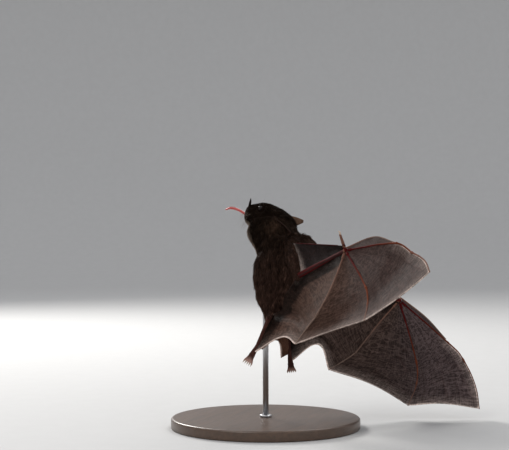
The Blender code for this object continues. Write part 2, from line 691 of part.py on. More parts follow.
def main():
    bpy.context.scene.collection.objects.link(BODY)
    BODY.matrix_world = Matrix.Translation(Vector(SHOULDERS_AT) * MM) @ body_rotation()
    bpy.context.view_layer.update()

    head = build_core()
    build_eyes(head)
    trunk_cutter = add_piece("trunk_space_cutter", section_loft(TRUNK_SECTIONS, GAP), None)
    neck_cutter = add_piece("neck_space_cutter", section_loft(NECK_SECTIONS, GAP), None)
    body_cutters = (trunk_cutter, neck_cutter)
    build_ears_and_leaf(neck_cutter)

    ends = {}
    all_leg_cutters = []
    for side in SIDES:
        leg_cutters = build_leg(side, body_cutters)
        at, paths, wing_cutters = build_wing_bones(side, body_cutters)
        build_wing_membranes(side, at, paths, wing_cutters, body_cutters, leg_cutters)
        ends[side] = at
        all_leg_cutters += leg_cutters
    build_tail(ends["left"], ends["right"], body_cutters, all_leg_cutters)
    build_stand(trunk_cutter)


main()
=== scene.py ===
"""Looks of the hovering nectar bat: one skin with its coat, eyes, claws, tongue and the stand.

Shapes are worked out in the animal's body frame, in millimetres: +X to its left, +Y to its
back, +Z towards its head, from midway between the shoulders, as the solids are. They become
metres in the row frame when a mesh is made.
"""
import json
from math import cos, pi, radians, sin

import bmesh
import bpy
import numpy as np
from mathutils import Matrix, Vector
from mathutils.kdtree import KDTree

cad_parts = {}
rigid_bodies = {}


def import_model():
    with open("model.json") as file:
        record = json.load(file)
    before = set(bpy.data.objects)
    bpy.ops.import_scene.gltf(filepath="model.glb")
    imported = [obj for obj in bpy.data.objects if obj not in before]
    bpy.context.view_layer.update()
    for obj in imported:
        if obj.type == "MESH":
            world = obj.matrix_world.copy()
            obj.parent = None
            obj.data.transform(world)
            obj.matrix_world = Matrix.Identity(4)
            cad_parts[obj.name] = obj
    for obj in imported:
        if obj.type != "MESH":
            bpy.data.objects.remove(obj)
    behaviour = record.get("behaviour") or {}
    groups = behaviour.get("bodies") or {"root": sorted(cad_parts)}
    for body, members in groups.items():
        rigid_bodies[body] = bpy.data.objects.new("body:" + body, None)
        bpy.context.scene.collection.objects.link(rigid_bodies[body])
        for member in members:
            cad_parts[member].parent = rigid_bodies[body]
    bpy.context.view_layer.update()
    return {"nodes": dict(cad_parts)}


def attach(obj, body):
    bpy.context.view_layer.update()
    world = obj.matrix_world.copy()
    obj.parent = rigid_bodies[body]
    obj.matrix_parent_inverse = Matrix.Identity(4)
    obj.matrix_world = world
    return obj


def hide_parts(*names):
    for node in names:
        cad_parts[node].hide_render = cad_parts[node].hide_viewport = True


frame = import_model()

MM = 0.001

# ---- pose and skeleton, as the solids have them -----------------------------------------
BANK = radians(23.0)
PITCH = radians(7.5)
SHOULDERS_AT = (-12.0, 10.0, 84.0)
SHOULDER = (8.0, 0.0, 0.0)
HIP = (4.5, -6.0, -36.5)
BONES = (                      # outer joint, inner joint, length
    ("elbow", "shoulder", 22.0), ("wrist", "elbow", 35.0), ("thumb_tip", "wrist", 9.5),
    ("knuckle3", "wrist", 33.5), ("joint3", "knuckle3", 12.0), ("tip3", "joint3", 26.0),
    ("knuckle4", "wrist", 32.0), ("joint4", "knuckle4", 10.5), ("tip4", "joint4", 12.5),
    ("knuckle5", "wrist", 32.5), ("joint5", "knuckle5", 8.5), ("tip5", "joint5", 9.5),
    ("knee", "hip", 13.0), ("ankle", "knee", 13.5), ("toes", "ankle", 11.3), ("calcar_tip", "ankle", 5.0),
)
BONE_ANGLES = {                # degrees: outwards towards the back, then up towards the head
    "left": {
        "elbow": (44, -64), "wrist": (53, 1.5), "thumb_tip": (-32, 66),
        "knuckle3": (55, -13), "joint3": (53, -38), "tip3": (31, -40),
        "knuckle4": (38, -51), "joint4": (20, -62), "tip4": (0, -54),
        "knuckle5": (-70, -67), "joint5": (-124, -33), "tip5": (-119, -38),
        "knee": (-3, -13), "ankle": (-94, -66), "toes": (-63, -62), "calcar_tip": (175, -10),
    },
    "right": {
        "elbow": (71, -40), "wrist": (53, -6), "thumb_tip": (-57, 26),
        "knuckle3": (39, -28), "joint3": (39, -36), "tip3": (23, -61),
        "knuckle4": (11, -54), "joint4": (-14, -65), "tip4": (-47, -50),
        "knuckle5": (-85, -46), "joint5": (-106, -37), "tip5": (-133, -35),
        "knee": (-8, 6), "ankle": (160, -64), "toes": (-8, -44), "calcar_tip": (-125, -35),
    },
}
SIDES = {"left": 1.0, "right": -1.0}

# ---- body sections: level, centre towards the back, half depth, half width ---------------
TRUNK_SECTIONS = (
    (6.5, -7.2, 10.6, 8.2), (1.5, -6.2, 11.4, 9.4), (-5.0, -7.0, 12.2, 9.8), (-12.0, -7.6, 12.2, 9.8),
    (-17.5, -8.1, 11.0, 9.2), (-22.5, -8.5, 9.8, 8.4), (-28.0, -8.2, 7.8, 7.2), (-32.5, -8.4, 6.0, 5.8),
    (-37.0, -8.8, 4.4, 4.4), (-41.0, -9.0, 2.2, 2.6),
)
NECK_SECTIONS = (
    (19.0, -11.6, 9.2, 5.6), (15.5, -12.0, 11.5, 6.6), (12.0, -11.2, 12.5, 7.2), (8.0, -9.2, 12.6, 7.8),
    (4.0, -7.6, 12.0, 8.6), (0.0, -7.0, 11.2, 9.0), (-5.0, -7.2, 8.0, 6.5),
)
TRUNK_COAT = 0.95              # how far the skin lies under the solids' surface: trunk and neck
ARM_COAT = (0.8, 0.6, 0.35)    # and along the upper arm
THIGH_COAT = 0.5

# ---- head frame: +X to the nose, +Y to the left, +Z to the crown -------------------------
HEAD_AT = (0.0, -9.5, 19.5)
HEAD_PITCH = radians(21.0)
HEAD_ROLL = radians(-10.0)
HEAD_YAW = radians(3.0)
HEAD_SECTIONS = (              # station, crown height, throat height, half width, coat depth
    (-10.5, 0.2, -4.2, 2.8, 1.2), (-9.0, 2.2, -6.0, 4.8, 1.2), (-6.0, 3.7, -7.4, 6.3, 1.2),
    (-2.0, 4.7, -8.2, 6.9, 1.1), (2.0, 5.3, -8.6, 6.5, 1.0), (5.0, 5.4, -9.0, 5.6, 0.8),
    (8.0, 4.6, -10.0, 4.5, 0.6), (11.0, 2.8, -9.6, 3.6, 0.4), (13.0, 1.5, -8.5, 2.9, 0.25),
    (14.3, 0.4, -6.9, 2.1, 0.15), (14.9, -1.0, -5.1, 1.2, 0.1),
)
MOUTH_HEIGHT = -4.2
MOUTH_CORNER = 8.4
WHISKER_PAD_AT = (11.8, 1.9, -2.2)
WHISKER_PAD_RADIUS = 1.5
EYE_AT = (7.1, 3.25, 2.1)
EYE_FACES = (0.28, 0.86, 0.42)
EYE_RADIUS = 1.15
EAR_BASE = {1: (-2.4, 6.3, -3.4), -1: (-2.8, 5.3, -4.4)}       # left and right
EAR_LENGTH = 13.0
EAR_ROOT = 1.5                 # how much more of the ear lies inside the head
EAR_WIDTH = 8.0
EAR_BACK = {1: radians(83.0), -1: radians(68.0)}
EAR_SPLAY = {1: radians(28.0), -1: radians(48.0)}
EAR_RIDGES = 9
NOSELEAF_AT = (13.9, 0.0, -0.2)
NOSELEAF_HEIGHT = 4.2
TONGUE_PATH = ((9.5, 0.0, -4.3), (14.5, 0.2, -4.3), (18.0, 0.6, -3.6), (22.0, 1.0, -3.9), (24.5, 1.2, -5.5))

# ---- limbs and membranes ----------------------------------------------------------------
SHOULDER_LUMP = {"left": ((6.0, 1.0, 1.0), 4.6), "right": ((6.0, 3.2, 3.6), 6.8)}
UPPER_ARM_RADII = (3.6, 1.9)
FOREARM_RADII = (1.7, 1.62, 1.34, 1.0, 1.0)
TENDON_RADII = (0.35, 0.45, 0.45, 0.4)
ELBOW_RADIUS = 1.75
WRIST_RADIUS = 1.204
DIGIT_RADII = (0.48, 0.4, 0.3)
DIGIT2_RADII = (0.42, 0.34, 0.26)
KNUCKLE_SWELL = 0.22
KNUCKLE_BREADTH = 0.018        # as a share of the finger's length
THUMB_RADII = (0.9, 0.66, 0.7, 0.62, 0.52)
BRACE_RADIUS = 0.24            # the cord in the forward membrane's edge
TIP3_BOWS = (1.2, 1.6)
DIGIT5_BOW = {"left": 1.3, "right": -0.6}
BOW_SHARE = 0.9                # how much of the solids' bow the finer line keeps
DIGIT2_BOW = {"left": 5.1, "right": 2.3}
DIGIT2_REACH = 0.96            # the second finger's length, as a share of the third's first bone
DIGIT2_STANDOFF = 1.4          # how far from the third finger it begins
DIGIT2_CLOSING = 0.45          # and how much of that is left at its end
THIGH_RADII = (2.3, 1.5)
SHIN_RADII = (1.25, 1.1, 1.0, 0.95, 1.0)
FOOT_RADII = (0.85, 0.95, 1.15, 1.3, 1.25)
TOE_RADII = (0.40, 0.44, 0.48, 0.42, 0.44, 0.32)
CALCAR_RADII = (0.5, 0.35, 0.22)
FOOT_FACES = (1.0, 0.3, -0.4)  # the way that the backs of the feet face
SOLE_LENGTH = 0.66
THUMB_WEB = 0.24               # how far along the thumb the forward membrane begins
FLANK_FOOT = 0.42              # how far along the foot the flank membrane ends
TOE_COUNT = 5
TOE_LENGTH = 3.6
TAIL_TIP = (0.0, -8.3, -43.4)  # short enough to stay behind the membranes
TAIL_RADII = (0.75, 0.6, 0.35)
RUMP = (0.0, -7.4, -35.2)
MEMBRANE_HALF = 0.17           # half the membrane's thickness
HEM = 0.09                     # how much thicker each face is at a free edge
WELD = 0.02                    # panels meet where their points are nearer than this
OUTER_SAG = {"left": 0.6, "right": 2.2}
MIDDLE_SAG = 2.0
FLANK_SAG = {"left": 6.8, "right": 11.0}
TAIL_SAG = 7.4
FLANK_POINTS = ((4.2, -4.6, -26.0), (3.4, -6.2, -31.5))
FORWARD_EDGE_ROOT = {"left": (6.5, -2.2, 1.8), "right": (6.5, 3.0, 5.0)}
FINGER_STEPS = 9               # steps in a finger's centre line, three to each bone
FINE = 10      # rows of the membrane to each of those steps
EASE_ROUNDS = 14               # how often the membrane's creases are eased

# ---- stand ------------------------------------------------------------------------------
BASE_RADIUS = 45.0
BASE_HEIGHT = 5.0
BASE_EDGE = 1.1
ROD_RADIUS = 1.4
ROD_TOP = (0.0, -14.5, -31.0)
COLLAR_OUTLINE = (             # beyond the rod's radius, above the base
    (0.05, -0.3), (1.5, -0.3), (1.5, 0.9), (1.3, 1.15), (0.5, 1.3), (0.05, 1.3),
)

# ---- the coat ---------------------------------------------------------------------------
VOXEL = 0.3
TUFTS_PER_PIECE = 19500
WEB_TUFTS = 9000
SHADE_REACH = (9.5, 10.0, 10.5, 7.2, 3.0)  # breadth of the dark strip beside the body, elbow to ankle: fur with painted shade
PATCH = 0.003                  # a tuft's patch on the bake map

# ---- parts of the skin, as numbers on its faces -----------------------------------------
BODY_PART, MEMBRANE_PART, BONE_PART, EAR_PART, FOOT_PART, FACE_PART = range(6)

BODY_TILT = Matrix.Rotation(-BANK, 4, "Y") @ Matrix.Rotation(PITCH, 4, "X")
BODY_TURN = np.array(BODY_TILT.to_3x3())
BODY_SHIFT = np.array(SHOULDERS_AT)


# ---- small helpers ----------------------------------------------------------------------
def array(*points):
    return np.array(points, float)


def unit(v):
    return v / np.maximum(np.linalg.norm(v, axis=-1, keepdims=True), 1e-9)


def to_row(points):
    """Body frame in millimetres to row frame in metres."""
    return (np.asarray(points, float) @ BODY_TURN.T + BODY_SHIFT) * MM


def smoothstep(value, low, high):
    t = np.clip((value - low) / (high - low), 0.0, 1.0)
    return t * t * (3 - 2 * t)


def spline(points, steps):
    """A smooth path through the points, steps samples to each span, as the solids' paths are."""
    pts = np.asarray(points, float)
    count = len(pts)
    lean = unit(np.array([pts[min(i + 1, count - 1)] - pts[max(i - 1, 0)] for i in range(count)]))
    t = (np.arange(steps) / steps)[:, None]
    path = []
    for p, q, leave, arrive in zip(pts, pts[1:], lean, lean[1:]):
        span = np.linalg.norm(q - p)
        path.append(p * (2 * t ** 3 - 3 * t ** 2 + 1) + q * (3 * t ** 2 - 2 * t ** 3)
                    + leave * (span * (t ** 3 - 2 * t ** 2 + t)) + arrive * (span * (t ** 3 - t ** 2)))
    path.append(pts[-1:])
    return np.concatenate(path)


def straight(points, counts):
    """The corners of a path with this many steps between each pair."""
    path = [np.asarray(points[0], float)]
    for a, b, count in zip(points, points[1:], counts):
        path += [np.asarray(a) + (np.asarray(b) - a) * (k + 1) / count for k in range(count)]
    return np.array(path)


def resample(path, count):
    """count + 1 points at equal distances along a path."""
    travelled = np.concatenate([[0], np.cumsum(np.linalg.norm(np.diff(path, axis=0), axis=1))])
    wanted = np.linspace(0, travelled[-1], count + 1)
    return np.stack([np.interp(wanted, travelled, path[:, k]) for k in range(3)], axis=1)


def line_distance(points, path):
    """Each point's distance to a polyline, and how far along it the nearest place is, 0 to 1."""
    best = np.full(len(points), 1e9)
    where = np.zeros(len(points))
    last = len(path) - 1
    for k, (a, b) in enumerate(zip(path, path[1:])):
        step = b - a
        t = np.clip((points - a) @ step / max(step @ step, 1e-12), 0, 1)
        away = np.linalg.norm(points - (a + t[:, None] * step), axis=1)
        near = away < best
        best[near] = away[near]
        where[near] = (k + t[near]) / last
    return best, where


def waves(points, scale, seed):
    """Smooth seeded noise in about -1..1, from sines in several directions."""
    dice = np.random.default_rng(seed)
    total = np.zeros(len(points))
    for _ in range(6):
        heading = unit(dice.normal(size=3))
        phase = points @ heading * (2 * pi / scale) * dice.uniform(0.6, 1.6)
        total += np.sin(phase + dice.uniform(0, 2 * pi))
    return total / 3.0


def profile(values, count):
    """Radii for count points, read from a short list."""
    return np.interp(np.linspace(0, 1, count), np.linspace(0, 1, len(values)), values)


def search_tree(points):
    tree = KDTree(len(points))
    for k, point in enumerate(points):
        tree.insert(point, k)
    tree.balance()
    return tree


# ---- meshes -----------------------------------------------------------------------------
def link(name, mesh):
    obj = bpy.data.objects.new(name, mesh)
    bpy.context.scene.collection.objects.link(obj)
    return obj


def read(elements, name, width=1, kind=np.float32):
    """A value of each of a mesh's elements, as rows where it is wider than one number."""
    values = np.empty(len(elements) * width, kind)
    elements.foreach_get(name, values)
    return values.reshape(-1, width) if width > 1 else values


def store(mesh, name, kind, domain, values):
    """A new attribute with these values."""
    field = {"FLOAT_COLOR": "color", "FLOAT_VECTOR": "vector", "INT": "value"}[kind]
    mesh.attributes.new(name, kind, domain).data.foreach_set(field, values.ravel())


def store_map(mesh, places, corners):
    """The bake map, from a place for each vertex."""
    layer = mesh.uv_layers.new(name="OFBake")
    layer.data.foreach_set("uv", places[corners].astype(np.float32).ravel())


def coordinates(mesh):
    return read(mesh.vertices, "co", 3).astype(float)


def body_places(mesh):
    """A mesh's vertices in body millimetres."""
    return (coordinates(mesh) / MM - BODY_SHIFT) @ BODY_TURN


def mesh_object(name, points, faces, part=0, in_body=True):
    """An object from points in body millimetres, or row millimetres, with outward faces."""
    mesh = bpy.data.meshes.new(name)
    metres = to_row(points) if in_body else np.asarray(points, float) * MM
    mesh.from_pydata(metres.tolist(), [], [list(map(int, f)) for f in faces])
    bm = bmesh.new()
    bm.from_mesh(mesh)
    bmesh.ops.recalc_face_normals(bm, faces=bm.faces)
    if bm.calc_volume(signed=True) < 0:
        bmesh.ops.reverse_faces(bm, faces=bm.faces)
    bm.to_mesh(mesh)
    bm.free()
    mesh.shade_smooth()
    store(mesh, "part", "INT", "FACE", np.full(len(mesh.polygons), part, np.int32))
    return link(name, mesh)


def grid_faces(rows, columns, closed=True, start=0):
    """Quads over rows of equally many points; closed joins each row's ends."""
    faces = []
    for i in range(rows - 1):
        for j in range(columns if closed else columns - 1):
            k = (j + 1) % columns
            faces.append((start + i * columns + j, start + i * columns + k,
                          start + (i + 1) * columns + k, start + (i + 1) * columns + j))
    return faces


def capped(rings):
    """Points and faces of a closed body through equal rings."""
    rows, columns = len(rings), len(rings[0])
    faces = grid_faces(rows, columns)
    faces.append(tuple(range(columns))[::-1])
    faces.append(tuple(range((rows - 1) * columns, rows * columns)))
    return np.concatenate(rings), faces


def ellipse(centre, across, up, rx, ry, count):
    angle = np.arange(count) * 2 * pi / count
    return np.asarray(centre) + np.outer(np.cos(angle) * rx, across) + np.outer(np.sin(angle) * ry, up)


def level_ring(level, rx, ry, count, y=0.0):
    return ellipse((0, y, level), (1, 0, 0), (0, 1, 0), rx, ry, count)


TUBE_END = ((0.7, 0.7), (0.95, 0.3))       # how far past its end a tube goes, and how wide, in radii


def tube(path, radii, sides=10, flat=1.0, flat_way=None):
    """A round-ended tube along a path; radii is one value for each point."""
    path = np.asarray(path, float)
    radii = np.broadcast_to(np.asarray(radii, float), len(path))
    tangents = unit(np.gradient(path, axis=0))
    up = Vector(tangents[0]).orthogonal() if flat_way is None else flat_way
    up = np.array(up, float)
    rings = []
    for i, (point, tangent, radius) in enumerate(zip(path, tangents, radii)):
        up = unit(up - tangent * (up @ tangent))
        across = np.cross(tangent, up)
        steps = [(0.0, 1.0)]
        if i == 0:
            steps = [(-on, size) for on, size in reversed(TUBE_END)] + steps
        if i == len(path) - 1:
            steps += TUBE_END
        for on, size in steps:
            centre = point + tangent * radius * on
            rings.append(ellipse(centre, across, up, radius * size, radius * size * flat, sides))
    return capped(rings)


def ball(centre, radius, stretch=(1, 1, 1), segments=20):
    rings = []
    for k in range(1, segments // 2):
        polar = pi * k / (segments // 2)
        rings.append(level_ring(cos(polar), sin(polar), sin(polar), segments) * radius * np.array(stretch))
    points, faces = capped(rings)
    return points + np.asarray(centre), faces


def evaluated(obj):
    """Replace an object's mesh by what its modifiers make of it."""
    graph = bpy.context.evaluated_depsgraph_get()
    mesh = bpy.data.meshes.new_from_object(obj.evaluated_get(graph))
    obj.modifiers.clear()
    obj.data = mesh
    return obj


def join(objects, name):
    """One object from several, by bmesh."""
    bm = bmesh.new()
    for obj in objects:
        bm.from_mesh(obj.data)
        bpy.data.objects.remove(obj, do_unlink=True)
    mesh = bpy.data.meshes.new(name)
    bm.to_mesh(mesh)
    bm.free()
    mesh.shade_smooth()
    return link(name, mesh)


def neighbour_sums(points, a, b):
    """For each point, the sum of the points that the edges a-b join it to."""
    return np.stack([np.bincount(a, points[b, k], len(points)) + np.bincount(b, points[a, k], len(points))
                     for k in range(3)], axis=1)


def relax(mesh, rounds, strength=0.5):
    """Laplacian smoothing, by a strength that may differ from vertex to vertex."""
    co = coordinates(mesh)
    a, b = read(mesh.edges, "vertices", 2, np.int32).T
    degree = np.bincount(np.concatenate([a, b]), minlength=len(co))[:, None]
    for _ in range(rounds):
        co += strength * (neighbour_sums(co, a, b) / np.maximum(degree, 1) - co)
    mesh.vertices.foreach_set("co", co.astype(np.float32).ravel())
    mesh.update()


# ---- skeleton ---------------------------------------------------------------------------
def mirrored(point, side):
    """A point of the left side, or the same place of the right side, in the body frame."""
    return array(SIDES[side] * point[0], point[1], point[2])


def on_cheek(point, sign):
    """The same in the head frame."""
    return array(*point) * (1, sign, 1)


def joints(side):
    places = {"shoulder": mirrored(SHOULDER, side), "hip": mirrored(HIP, side)}
    for outer, inner, length in BONES:
        out, up = (radians(a) for a in BONE_ANGLES[side][outer])
        way = array(SIDES[side] * cos(up) * cos(out), cos(up) * sin(out), sin(up))
        places[outer] = places[inner] + length * way
    return places


def head_turn():
    """The head frame's axes in the body frame; its angles are against the level row frame."""
    facing = Matrix(((0, 1, 0), (-1, 0, 0), (0, 0, 1))).to_4x4()
    turn = Matrix.Rotation(HEAD_YAW, 4, "Z") @ facing
    turn = turn @ Matrix.Rotation(-HEAD_PITCH, 4, "Y") @ Matrix.Rotation(HEAD_ROLL, 4, "X")
    return np.array((BODY_TILT.inverted() @ turn).to_3x3())


HEAD_TURN = head_turn()


def from_head(points):
    return np.asarray(points, float) @ HEAD_TURN.T + np.array(HEAD_AT)


def to_head(points):
    return (np.asarray(points, float) - np.array(HEAD_AT)) @ HEAD_TURN


def in_head(shape):
    """A shape made in the head frame, in the body frame."""
    points, faces = shape
    return from_head(points), faces


def between(a, b, share):
    return a + (b - a) * share


def finger(at, digit, first_bow=0.0, last_bows=(0.0, 0.0)):
    """One finger's centre line, as the solids have it, with FINE steps to each of theirs."""
    corners = [at["wrist"], at["knuckle" + digit], at["joint" + digit], at["tip" + digit]]
    bone = FINGER_STEPS // 3
    path = spline(corners, bone)
    plane = unit(np.cross(at["tip3"] - at["wrist"], at["tip5"] - at["wrist"]))
    for first, bows in ((0, (first_bow, first_bow)), (2 * bone, last_bows)):
        forward = unit(np.cross(path[first + bone] - path[first], plane))
        if forward @ (at["tip3"] - at["tip5"]) < 0:
            forward = -forward
        for step, bow in enumerate(bows, 1):
            path[first + step] += forward * bow * BOW_SHARE
    return spline(path, FINE)


class Wing:
    """One side's joints, and the centre lines and edges of its wing, arm and leg."""

    def __init__(self, side):
        self.side = side
        self.sign = SIDES[side]
        self.at = at = joints(side)
        wrist = at["wrist"]
        self.palm = unit(np.cross(at["tip3"] - wrist, at["tip5"] - wrist))
        self.digit3 = finger(at, "3", 0.0, TIP3_BOWS)
        self.digit4 = finger(at, "4")
        self.digit5 = finger(at, "5", DIGIT5_BOW[side])
        along3 = at["knuckle3"] - wrist
        away = wrist - at["knuckle4"]
        away = unit(away - along3 * (away @ along3) / (along3 @ along3))
        middle = wrist + along3 * 0.5 + away * DIGIT2_BOW[side]
        end = wrist + along3 * DIGIT2_REACH + away * DIGIT2_STANDOFF * DIGIT2_CLOSING
        self.digit2 = spline([wrist + away * DIGIT2_STANDOFF, middle, end], 12)
        flank = [mirrored(p, side) for p in FLANK_POINTS]
        self.body_side = np.array([at["elbow"], *flank, at["knee"], at["ankle"]])
        corners = [wrist, *self.body_side, between(at["ankle"], at["toes"], FLANK_FOOT)]
        self.inner = straight(corners, [FINE * n for n in (3, 2, 1, 1, 1, 1)])
        self.forearm = self.inner[:3 * FINE + 1]
        self.shin = straight([at["knee"], at["ankle"]], [3 * FINE // 2])
        root = mirrored(FORWARD_EDGE_ROOT[side], side)
        self.forward = straight([between(wrist, at["thumb_tip"], THUMB_WEB), root], [3 * FINE])
        lump, lump_radius = SHOULDER_LUMP[side]
        arm_middle = between(at["shoulder"], at["elbow"], 0.45)
        self.arm = spline([mirrored(lump, side), arm_middle, at["elbow"]], 10)
        self.arm_radii = (lump_radius, *UPPER_ARM_RADII)
        self.thigh = straight([at["hip"], at["knee"]], [12])


WINGS = {side: Wing(side) for side in SIDES}


def nearer_wing(measure):
    """The smaller of what measure says of the two wings."""
    return np.minimum(*(measure(wing) for wing in WINGS.values()))


def past_shade(points, wing):
    """How far places lie outside the dark strip along the body's side, which is fur with painted shade."""
    away, along = line_distance(points, wing.body_side)
    return away - np.interp(along, np.linspace(0, 1, len(SHADE_REACH)), SHADE_REACH)


# ---- body core: trunk, neck, head, arms and thighs as one furry form ---------------------
def section_body(sections, shrink, sides=56):
    fine = spline(sections, 6)
    fine[0, 0] -= shrink
    fine[-1, 0] += shrink
    return capped([level_ring(level, max(width - shrink, 0.4), max(depth - shrink, 0.4), sides, y)
                   for level, y, depth, width in fine])


def head_body(sides=56):
    rings = []
    for station, crown, throat, half_width, coat in spline(HEAD_SECTIONS, 6):
        middle, half = (crown + throat) / 2, (crown - throat) / 2
        breadth, height = half_width - coat, half - coat
        rings.append(ellipse((station, 0, middle), (0, 1, 0), (0, 0, 1), breadth, height, sides))
    return in_head(capped(rings))


def head_skin(station, height):
    """A point of the head's skin on its left, at this station and height."""
    table = np.array(HEAD_SECTIONS)
    crown, throat, half_width, coat = (np.interp(station, table[:, 0], table[:, k]) for k in (1, 2, 3, 4))
    middle, half = (crown + throat) / 2, (crown - throat) / 2 - coat
    rise = np.clip((height - middle) / half, -1, 1)
    return np.array([station, (half_width - coat) * np.sqrt(1 - rise * rise), middle + rise * half])


def ease_cheeks(mesh):
    """Take the ledge out from where the jaw runs into the neck."""
    x, _, z = to_head(body_places(mesh)).T
    cheek = (smoothstep(x, -9.0, -4.0) * (1 - smoothstep(x, 8.0, 12.0))
             * smoothstep(z, -16.0, -12.0) * (1 - smoothstep(z, -5.0, -2.5)))
    relax(mesh, 60, 0.5 * cheek[:, None])


def build_core():
    shapes = [section_body(TRUNK_SECTIONS, TRUNK_COAT), section_body(NECK_SECTIONS, TRUNK_COAT), head_body()]
    for wing in WINGS.values():
        steps = len(wing.arm)
        shapes.append(tube(wing.arm, profile(wing.arm_radii, steps) - profile(ARM_COAT, steps), 20))
        shapes.append(tube(wing.thigh, profile(THIGH_RADII, len(wing.thigh)) - THIGH_COAT, 16))
        pad = ball(on_cheek(WHISKER_PAD_AT, wing.sign), WHISKER_PAD_RADIUS, (1.4, 0.8, 0.8))
        shapes.append(in_head(pad))
    core = join([mesh_object("shape", *shape) for shape in shapes], "core")
    remesh = core.modifiers.new("remesh", "REMESH")
    remesh.mode = "VOXEL"
    remesh.voxel_size = VOXEL * MM
    evaluated(core)
    relax(core.data, 10)
    ease_cheeks(core.data)
    core.data.shade_smooth()
    return core


# ---- membranes --------------------------------------------------------------------------
def panel(edge_a, edge_b, sag, billow, columns, coarse_rows, pull=None):
    """The middle surface between two edges, by the same rule as the solids, with more points."""
    rows = len(edge_a)
    apex = (edge_a[0] + edge_b[0]) / 2
    pull = apex if pull is None else pull
    overall = unit(np.cross(edge_a[-1] - apex, edge_b[-1] - apex))
    t = (np.arange(rows) / (rows - 1))[:, None, None]
    s = np.linspace(0, 1, columns + 1)[None, :, None]
    arch = 4 * s * (1 - s)
    middle = (edge_a + edge_b) / 2
    inward = unit(pull - middle)[:, None, :]
    grid = edge_a[:, None, :] * (1 - s) + edge_b[:, None, :] * s
    grid = grid + inward * (sag * arch ** 1.5 * t * t) + overall * (billow * arch * np.sin(pi * t * 0.75))
    first = 1 if coarse_rows < 10 else max(1, round(0.3 * (rows - 1) / coarse_rows))
    return grid[first:], t[first:, 0, 0]


def membrane_panels():
    """Every panel's grid and rows, its place across the wing, which runs on over the bones, and its side."""
    panels = []
    for side, wing in WINGS.items():
        lead = wing.digit3[:3 * FINE + 1]
        spans = (               # both edges, sag, billow, columns, the solids' rows, pull, place
            (wing.forward, wing.forearm, 0.0, -1.0, 26, 5, None, 0),
            (wing.inner, wing.digit5, FLANK_SAG[side], -2.5, 56, 9, wing.at["elbow"], 1),
            (wing.digit5, wing.digit4, MIDDLE_SAG, -2.5, 40, 9, None, 2),
            (wing.digit4, wing.digit3, OUTER_SAG[side], -2.0, 40, 9, None, 3),
            (lead, resample(wing.digit2, 3 * FINE), 0.0, 0.0, 10, 6, None, 4),
        )
        for a, b, sag, billow, columns, coarse_rows, pull, place in spans:
            shape = panel(a, b, sag, billow * wing.sign, columns, coarse_rows, pull)
            panels.append((*shape, place, wing.sign))
    edges = [np.concatenate([wing.shin, straight([wing.at["ankle"], wing.at["calcar_tip"]], [FINE // 2])[1:]])
             for wing in WINGS.values()]
    panels.append((*panel(*edges, TAIL_SAG, 1.0, 60, len(edges[0])), 5, 1.0))
    return panels


def stitched_panels():
    """All the panels welded along their bones, with each vertex's place across and down."""
    bm = bmesh.new()
    across = bm.verts.layers.float.new("across")
    down = bm.verts.layers.float.new("down")
    for grid, t, place, sign in membrane_panels():
        rows, columns = grid.shape[:2]
        verts = []
        for k, point in enumerate(grid.reshape(-1, 3)):
            v = bm.verts.new(point)
            v[across] = sign * (place + k % columns / (columns - 1))
            v[down] = t[k // columns]
            verts.append(v)
        for face in grid_faces(rows, columns, closed=False):
            bm.faces.new([verts[k] for k in face])
    bmesh.ops.remove_doubles(bm, verts=bm.verts, dist=WELD)
    bmesh.ops.recalc_face_normals(bm, faces=bm.faces)
    bm.verts.index_update()
    return bm, np.array([(v[across], v[down]) for v in bm.verts])


HELD_PLACES = (0, 1, 5, 6)     # across the wing: the cord, the arm and body, the second finger and both shins


def is_free_edge(ends):
    """Which of the sheet's border edges hang free, from the measures of both their ends."""
    across, down = np.abs(ends[..., 0]), ends[..., 1]
    held = np.isin(np.round(across), HELD_PLACES) & (np.abs(across - np.round(across)) < 1e-4)
    return (down.min(axis=1) > 0.1) & ~held.all(axis=1)


def ease_sheet(bm, border):
    """Ease the creases between the sheet's rows; bones and borders stay."""
    middle = np.array([v.co for v in bm.verts])
    pinned = np.zeros(len(middle), bool)
    pinned[border.ravel()] = True
    for wing in WINGS.values():
        for path in (wing.digit2, wing.digit3, wing.digit4, wing.digit5, wing.forearm):
            pinned |= line_distance(middle, path)[0] < 0.05
    ends = np.array([[v.index for v in e.verts] for e in bm.edges])
    degree = np.bincount(ends.ravel(), minlength=len(middle))[:, None]
    eased = middle.copy()
    for _ in range(EASE_ROUNDS):
        eased = np.where(pinned[:, None], middle, (eased + neighbour_sums(eased, *ends.T) / degree) / 2)
    for v, spot in zip(bm.verts, eased):
        v.co = spot
    bm.normal_update()
    return eased, np.array([v.normal for v in bm.verts])


def thick_faces(bm, rim, count):
    """Faces of the closed body whose lower layer's points follow the upper layer's count points."""
    faces = []
    for f in bm.faces:
        index = [v.index for v in f.verts]
        faces.append(index)
        faces.append([k + count for k in reversed(index)])
    for e in rim:
        loop = e.link_loops[0]
        a, b = loop.vert.index, loop.link_loop_next.vert.index
        faces.append((b, a, a + count, b + count))
    return faces


